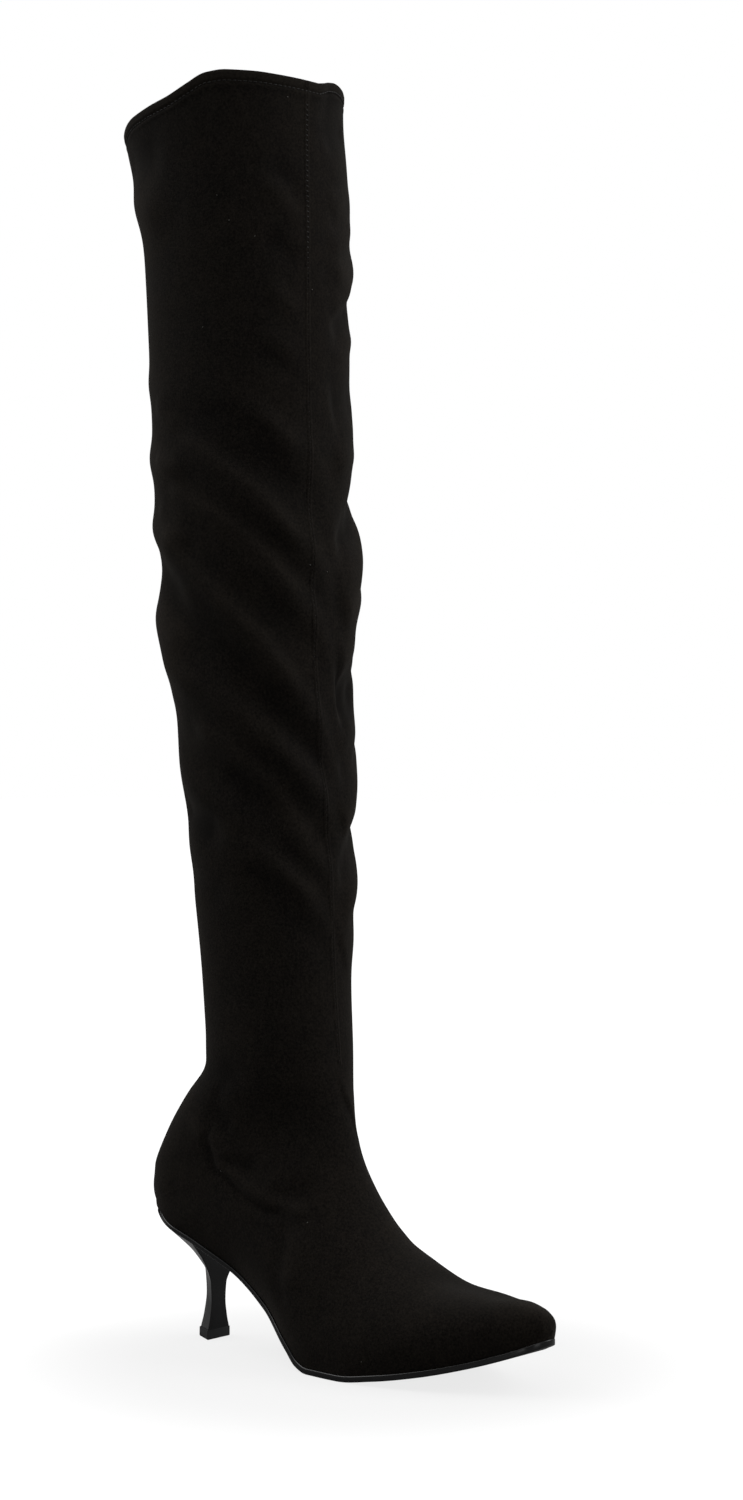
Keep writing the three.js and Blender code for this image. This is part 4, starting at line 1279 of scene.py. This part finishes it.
def heel_loop(size, flare, height):
    """Loop on the heel, whose height is a function of the seat's point above it."""
    steps = np.linspace(0, 1, HEEL_POINTS)
    shrink = (SEAT_WIDTH / 2 + SOLE_EDGE - HEEL_INSET) / (SEAT_WIDTH / 2)
    front = TIP_OFFSET + TIP_LENGTH / 2
    seat_along = mix(SEAT_INSET, BREAST_DEPTH, 1 - np.cos(steps * math.pi / 2))
    along = np.clip(steps - BACK_SHARE, 0, None) / (1 - BACK_SHARE)
    behind = TIP_BACK_WIDTH / 2 * steps / BACK_SHARE
    tip_half = np.where(steps < BACK_SHARE, behind, mix(TIP_BACK_WIDTH, TIP_WIDTH, along) / 2)
    seat_x = seat_along - (SOLE_EDGE - HEEL_INSET) * (1 - steps)
    x = mix(front - TIP_LENGTH * size * (1 - along), seat_x, flare)
    z = height(seat_x)
    sides = {}
    for side in SIDES:
        half = mix(tip_half * size, edge_half_width(seat_along, side) * shrink, flare)
        sides[side] = np.column_stack([x, side * half, z])
    breast = sides[OUTER][-1] * (1, 0, 1)
    across = [mix(breast, sides[OUTER][-1], share) for share in (0.9, 0.5)]
    back = [mix(breast, sides[INNER][-1], share) for share in (0.5, 0.9)]
    return np.vstack([sides[OUTER], across, [breast], back, sides[INNER][:0:-1]])


class BOOT_OT_heel(bpy.types.Operator):
    """Make the flared lacquered heel and its tip"""

    bl_idname = "boot.heel"
    bl_label = "Heel and heel tip"

    def execute(self, context):
        foot = TIP_THICKNESS + HEEL_JOINT
        loops = []
        for up in np.concatenate([HEEL_FOOT_ROWS, np.linspace(0.02, 1, HEEL_ROWS)]):
            size, flare = follow(HEEL, "size", up, "up"), follow(HEEL, "flare", up, "up")
            size = size * (1 - HEEL_FOOT_INSET * (1 - min(1, up / HEEL_FOOT_ROWS[-1])) ** 2)
            loops.append(heel_loop(size, flare, lambda along: mix(foot, sole_bottom(along) - HEEL_JOINT, up)))
        points, faces = stack(loops)
        finish = lacquer("boot_heel_lacquer", context.scene.boot_finish.lacquer_roughness)
        heel = piece("boot_heel", points, faces, [finish], "heel_lacquer", ("heel",))
        round_edges(heel, HEEL_ROUND, len(loops[0]))
        loops = []
        for size, up in TIP_SECTION:
            loops.append(heel_loop(size, 0, lambda along: np.full_like(along, up * TIP_THICKNESS)))
        points, faces = stack(loops)
        finish = rubber("boot_tip_rubber", 0.5)
        tip = piece("boot_heel_tip", points, faces, [finish], "heel_tip", ("heel_tip",))
        round_edges(tip, TIP_ROUND, len(loops[0]))
        return {"FINISHED"}


def round_edges(made, width, loop):
    """Rounds the upright edges beside the heel's breast and keeps the result as the mesh."""
    corners = (loop // 2 - 3, loop // 2 + 3)
    mesh = made.data
    weights = mesh.attributes.new("bevel_weight_edge", "FLOAT", "EDGE").data
    for edge in mesh.edges:
        first, second = (point % loop for point in edge.vertices)
        if first == second and first in corners:
            weights[edge.index].value = 1
    bevel = made.modifiers.new("edges", "BEVEL")
    bevel.width = width * MM
    bevel.segments = ROUND_STEPS
    bevel.limit_method = "WEIGHT"
    shown = made.evaluated_get(bpy.context.evaluated_depsgraph_get())
    made.data = bpy.data.meshes.new_from_object(shown)
    made.data.name = made.name
    made.modifiers.clear()
    made.data.set_sharp_from_angle(angle=math.radians(ROUND_ANGLE))


def suede():
    """Black microsuede: a short matt nap in mottled and brushed tones, with a painted highlight on the crests
    of the folds and painted shade in their troughs.
    """
    if "boot_microsuede" in bpy.data.materials:
        return bpy.data.materials["boot_microsuede"]
    finish, sizes = bpy.context.scene.boot_finish, bpy.context.scene.boot_sizes
    made = Finish("boot_microsuede")
    patches = made.band(made.noise(38, 3, 0.55), 0.36, 0.68)
    brushed = made.band(made.noise(190, 3, 0.6, (1, 1, 0.7)), 0.35, 0.7)
    speckle = made.noise(850, 3, 0.75)
    # Painted light and shade kept with the mesh: the nap is lighter on the crests of the creases and broad
    # folds, on the hem and along the front seam, and darker in the troughs and below the hem
    crease_shading, fold_shading = made.drawn("crease_shading"), made.drawn("fold_shading")
    tone = 0.18 + 0.14 * patches + 0.1 * brushed + 1.9 * (speckle - 0.5) + 0.11 * crease_shading + 0.025 * fold_shading
    height = 0.6 * made.noise(2600, 2, 0.7, (1, 1, 0.5)) + 0.4 * made.noise(700, 3, 0.6)
    return made.surface(
        made.blend(tone.clamped(), finish.suede, finish.suede_brushed_and_highlit),
        0.88 + 0.1 * patches,
        0.05,
        sheen_weight=finish.sheen,
        sheen_roughness=0.45,
        sheen_tint=(1.0, 0.9, 0.8),
        normal=made.bump(height, sizes.nap_depth, 0.7),
    )


def lining():
    """Fine black knit with its wales running up the leg."""
    light = bpy.context.scene.boot_finish.lining
    made = Finish("boot_lining_knit")
    wales = made.noise(1400, 1, 0.3, (1, 1, 0.08))
    loops = made.noise(1800, 1, 0.5)
    tone = (0.55 * wales + 0.45 * loops).clamped()
    colour = made.blend(tone, scaled(light, 0.55), light)
    return made.surface(colour, 0.8, 0.2, sheen_weight=0.05, normal=made.bump(tone, 0.0003, 0.6))


def thread_finish():
    """Twisted black sewing thread."""
    if "boot_thread" in bpy.data.materials:
        return bpy.data.materials["boot_thread"]
    finish = bpy.context.scene.boot_finish
    made = Finish("boot_thread")
    twist = made.noise(2200, 2, 0.5, (1, 1, 0.5))
    # Painted shade: the colour darkens between the twists, where the bump is low
    colour = made.blend(twist, finish.thread_twist_shade, finish.thread_light)
    return made.surface(colour, 0.55, 0.3, normal=made.bump(twist, 0.0001, 0.5))


def lint_finish():
    """Pale cotton lint."""
    finish = bpy.context.scene.boot_finish
    made = Finish("boot_lint_fibre")
    fluff = made.noise(3000, 2, 0.6)
    # Painted shade: the colour darkens in the folds, where the bump is low
    colour = made.blend(fluff, finish.lint_fold_shade, finish.lint_light)
    return made.surface(colour, 0.9, 0.5, normal=made.bump(fluff, 0.0001, 0.5))


def insole_finish():
    """Thin black leather with a fine grain, burnished where the foot rests."""
    dark = bpy.context.scene.boot_finish.insole
    made = Finish("boot_insole_leather")
    sockets = {"Vector": made.place, "Scale": 900}
    cells = made.node("ShaderNodeTexVoronoi", {"feature": "DISTANCE_TO_EDGE"}, sockets, "Distance")
    grain = made.band(cells, 0, 0.25)
    rubbed = made.noise(30, 3)
    colour = made.blend(0.4 * rubbed + 0.3 * grain, dark, scaled(dark, 1.8))
    return made.surface(colour, 0.62 - 0.18 * rubbed, 0.3, normal=made.bump(grain, 0.00012, 0.5))


def lacquer(name, roughness):
    """Glossy black lacquer with the faint waves that a brush or a polishing wheel leaves."""
    dark = bpy.context.scene.boot_finish.lacquer
    made = Finish(name)
    waves = made.noise(120, 2)
    specks = made.noise(1500, 2, 0.6)
    return made.surface(
        made.blend(waves, dark, scaled(dark, 2.2)),
        roughness + 0.12 * (waves - 0.5) + 0.06 * specks,
        0.24,
        coat_weight=0.06 + 0.08 * waves,
        coat_roughness=0.08,
        normal=made.bump(0.8 * waves + 0.2 * specks, 0.00015, 0.35),
    )


def rubber(name, roughness):
    """Hard black rubber with a fine moulded grain and a few light rubs."""
    dark = bpy.context.scene.boot_finish.sole
    made = Finish(name)
    grain = made.noise(1600, 2, 0.6)
    rubs = made.band(made.noise(90, 4, 0.7, (0.3, 1, 1)), 0.56, 0.72)
    colour = made.blend(0.25 * grain + 0.5 * rubs, dark, scaled(dark, 2.5))
    rough = roughness + 0.15 * rubs + 0.1 * grain
    return made.surface(colour, rough, 0.35, normal=made.bump(grain, 0.00012, 0.5))


def scaled(colour, times):
    return tuple(times * channel for channel in colour)


def grey(value):
    return (value, value, value)


class BOOT_OT_stage(bpy.types.Operator):
    """Set the white floor, the soft lights and the camera"""

    bl_idname = "boot.stage"
    bl_label = "Floor, lights and camera"

    def execute(self, context):
        self.make_floor(context)
        self.make_world(context)
        self.make_sky_light(context)
        for name, place, aim, size, power in SOFT_BOXES:
            self.make_soft_box(context, name, place, aim, size, power)
        self.make_camera(context)
        return {"FINISHED"}

    def make_floor(self, context):
        """White floor, a little greyer to the camera near the boot, where its weaker glow paints a soft
        shadow.
        """
        line = np.linspace(-FLOOR_REACH, FLOOR_REACH, FLOOR_LINES)
        points = [(x, y, 0) for y in line for x in line]
        mesh = bpy.data.meshes.new("studio_floor")
        mesh.from_pydata(points, [], grid_faces(numbered(FLOOR_LINES, FLOOR_LINES), flip=True))
        made = Finish("studio_white")
        mottle = made.blend(made.noise(3, 2), *map(grey, FLOOR_SHADES))
        seen = made.node("ShaderNodeLightPath", out="Is Camera Ray")
        colour = made.blend(seen, mottle, grey(FLOOR_SEEN))
        # Painted shadow: the glow that the camera sees is weaker near the boot's middle and full further out
        ends = {0: made.place, 1: BOOT_MIDDLE}
        away = made.node("ShaderNodeVectorMath", {"operation": "DISTANCE"}, ends, "Value")
        glow = made.blend(made.band(away, GLOW_START, GLOW_END), grey(GLOW_IN_PAINTED_SHADOW), grey(1))
        shown = made.blend(seen, grey(0), glow)
        mesh.materials.append(made.surface(colour, 0.9, 0.05, emission_color=shown, emission_strength=1))
        floor = bpy.data.objects.new("studio_floor", mesh)
        context.collection.objects.link(floor)

    def make_world(self, context):
        """White to the camera, and a weaker fill for all else."""
        world = bpy.data.worlds.new("studio")
        world.use_nodes = True
        nodes, links = world.node_tree.nodes, world.node_tree.links
        fill, seen = nodes["Background"], nodes.new("ShaderNodeBackground")
        for background in (fill, seen):
            background.inputs["Color"].default_value = (1, 1, 1, 1)
        fill.inputs["Strength"].default_value = FILL_LIGHT
        ray, both = nodes.new("ShaderNodeLightPath"), nodes.new("ShaderNodeMixShader")
        links.new(ray.outputs["Is Camera Ray"], both.inputs[0])
        links.new(fill.outputs[0], both.inputs[1])
        links.new(seen.outputs[0], both.inputs[2])
        links.new(both.outputs[0], nodes["World Output"].inputs["Surface"])
        context.scene.world = world
        context.scene.view_settings.view_transform = "Standard"
        context.scene.view_settings.look = "None"

    def make_sky_light(self, context):
        """Broad soft light from above, which keeps the floor evenly white."""
        light = bpy.data.lights.new("overhead_light", "SUN")
        light.energy = SKY_LIGHT
        light.angle = math.radians(SKY_WIDTH)
        made = bpy.data.objects.new("overhead_light", light)
        made.rotation_euler = [math.radians(turn) for turn in SKY_TILT]
        context.collection.objects.link(made)

    def make_soft_box(self, context, name, place, aim, size, power):
        light = bpy.data.lights.new(name, "AREA")
        light.shape = "SQUARE"
        light.size = size
        light.energy = power
        made = bpy.data.objects.new(name, light)
        made.location = place
        made.rotation_euler = (Vector(aim) - Vector(place)).to_track_quat("-Z", "Y").to_euler()
        context.collection.objects.link(made)

    def make_camera(self, context):
        angle = math.radians(CAMERA_AZIMUTH)
        place = Vector((math.sin(angle), -math.cos(angle), 0)) * CAMERA_DISTANCE
        aim = Vector((math.cos(angle), math.sin(angle), 0)) * CAMERA_ASIDE
        camera = bpy.data.cameras.new("studio_camera")
        camera.sensor_fit = "VERTICAL"
        camera.sensor_height = SENSOR
        camera.sensor_width = SENSOR
        camera.lens = SENSOR * FOCAL_PIXELS / FRAME_HEIGHT
        camera.clip_start, camera.clip_end = 0.05, 50
        made = bpy.data.objects.new("studio_camera", camera)
        made.location = place + Vector((0, 0, CAMERA_HEIGHT))
        made.rotation_euler = (aim - place).to_track_quat("-Z", "Y").to_euler()
        context.collection.objects.link(made)
        context.scene.camera = made


class BOOT_PT_sidebar(bpy.types.Panel):
    """Boot's pieces, sizes and finishes"""

    bl_label = "Boot"
    bl_idname = "BOOT_PT_sidebar"
    bl_space_type = "VIEW_3D"
    bl_region_type = "UI"
    bl_category = "Boot"

    def draw(self, context):
        for kind in PIECES:
            self.layout.operator(kind.bl_idname)
        for owner, group in (("boot_sizes", BootSizes), ("boot_finish", BootFinish)):
            box = self.layout.box()
            for name in group.__annotations__:
                box.prop(getattr(context.scene, owner), name)


PIECES = (
    BOOT_OT_stage,
    BOOT_OT_upper,
    BOOT_OT_stitching,
    BOOT_OT_lint,
    BOOT_OT_insole,
    BOOT_OT_sole,
    BOOT_OT_heel,
)
CLASSES = (BootSizes, BootFinish, *PIECES, BOOT_PT_sidebar)


def register():
    for kind in CLASSES:
        bpy.utils.register_class(kind)
    bpy.types.Scene.boot_sizes = PointerProperty(type=BootSizes)
    bpy.types.Scene.boot_finish = PointerProperty(type=BootFinish)


def unregister():
    del bpy.types.Scene.boot_finish
    del bpy.types.Scene.boot_sizes
    for kind in reversed(CLASSES):
        bpy.utils.unregister_class(kind)


def main():
    register()
    bpy.ops.boot.stage()
    bpy.ops.boot.upper()
    bpy.ops.boot.stitching()
    bpy.ops.boot.lint()
    bpy.ops.boot.insole()
    bpy.ops.boot.sole()
    bpy.ops.boot.heel()


if __name__ == "__main__":
    main()
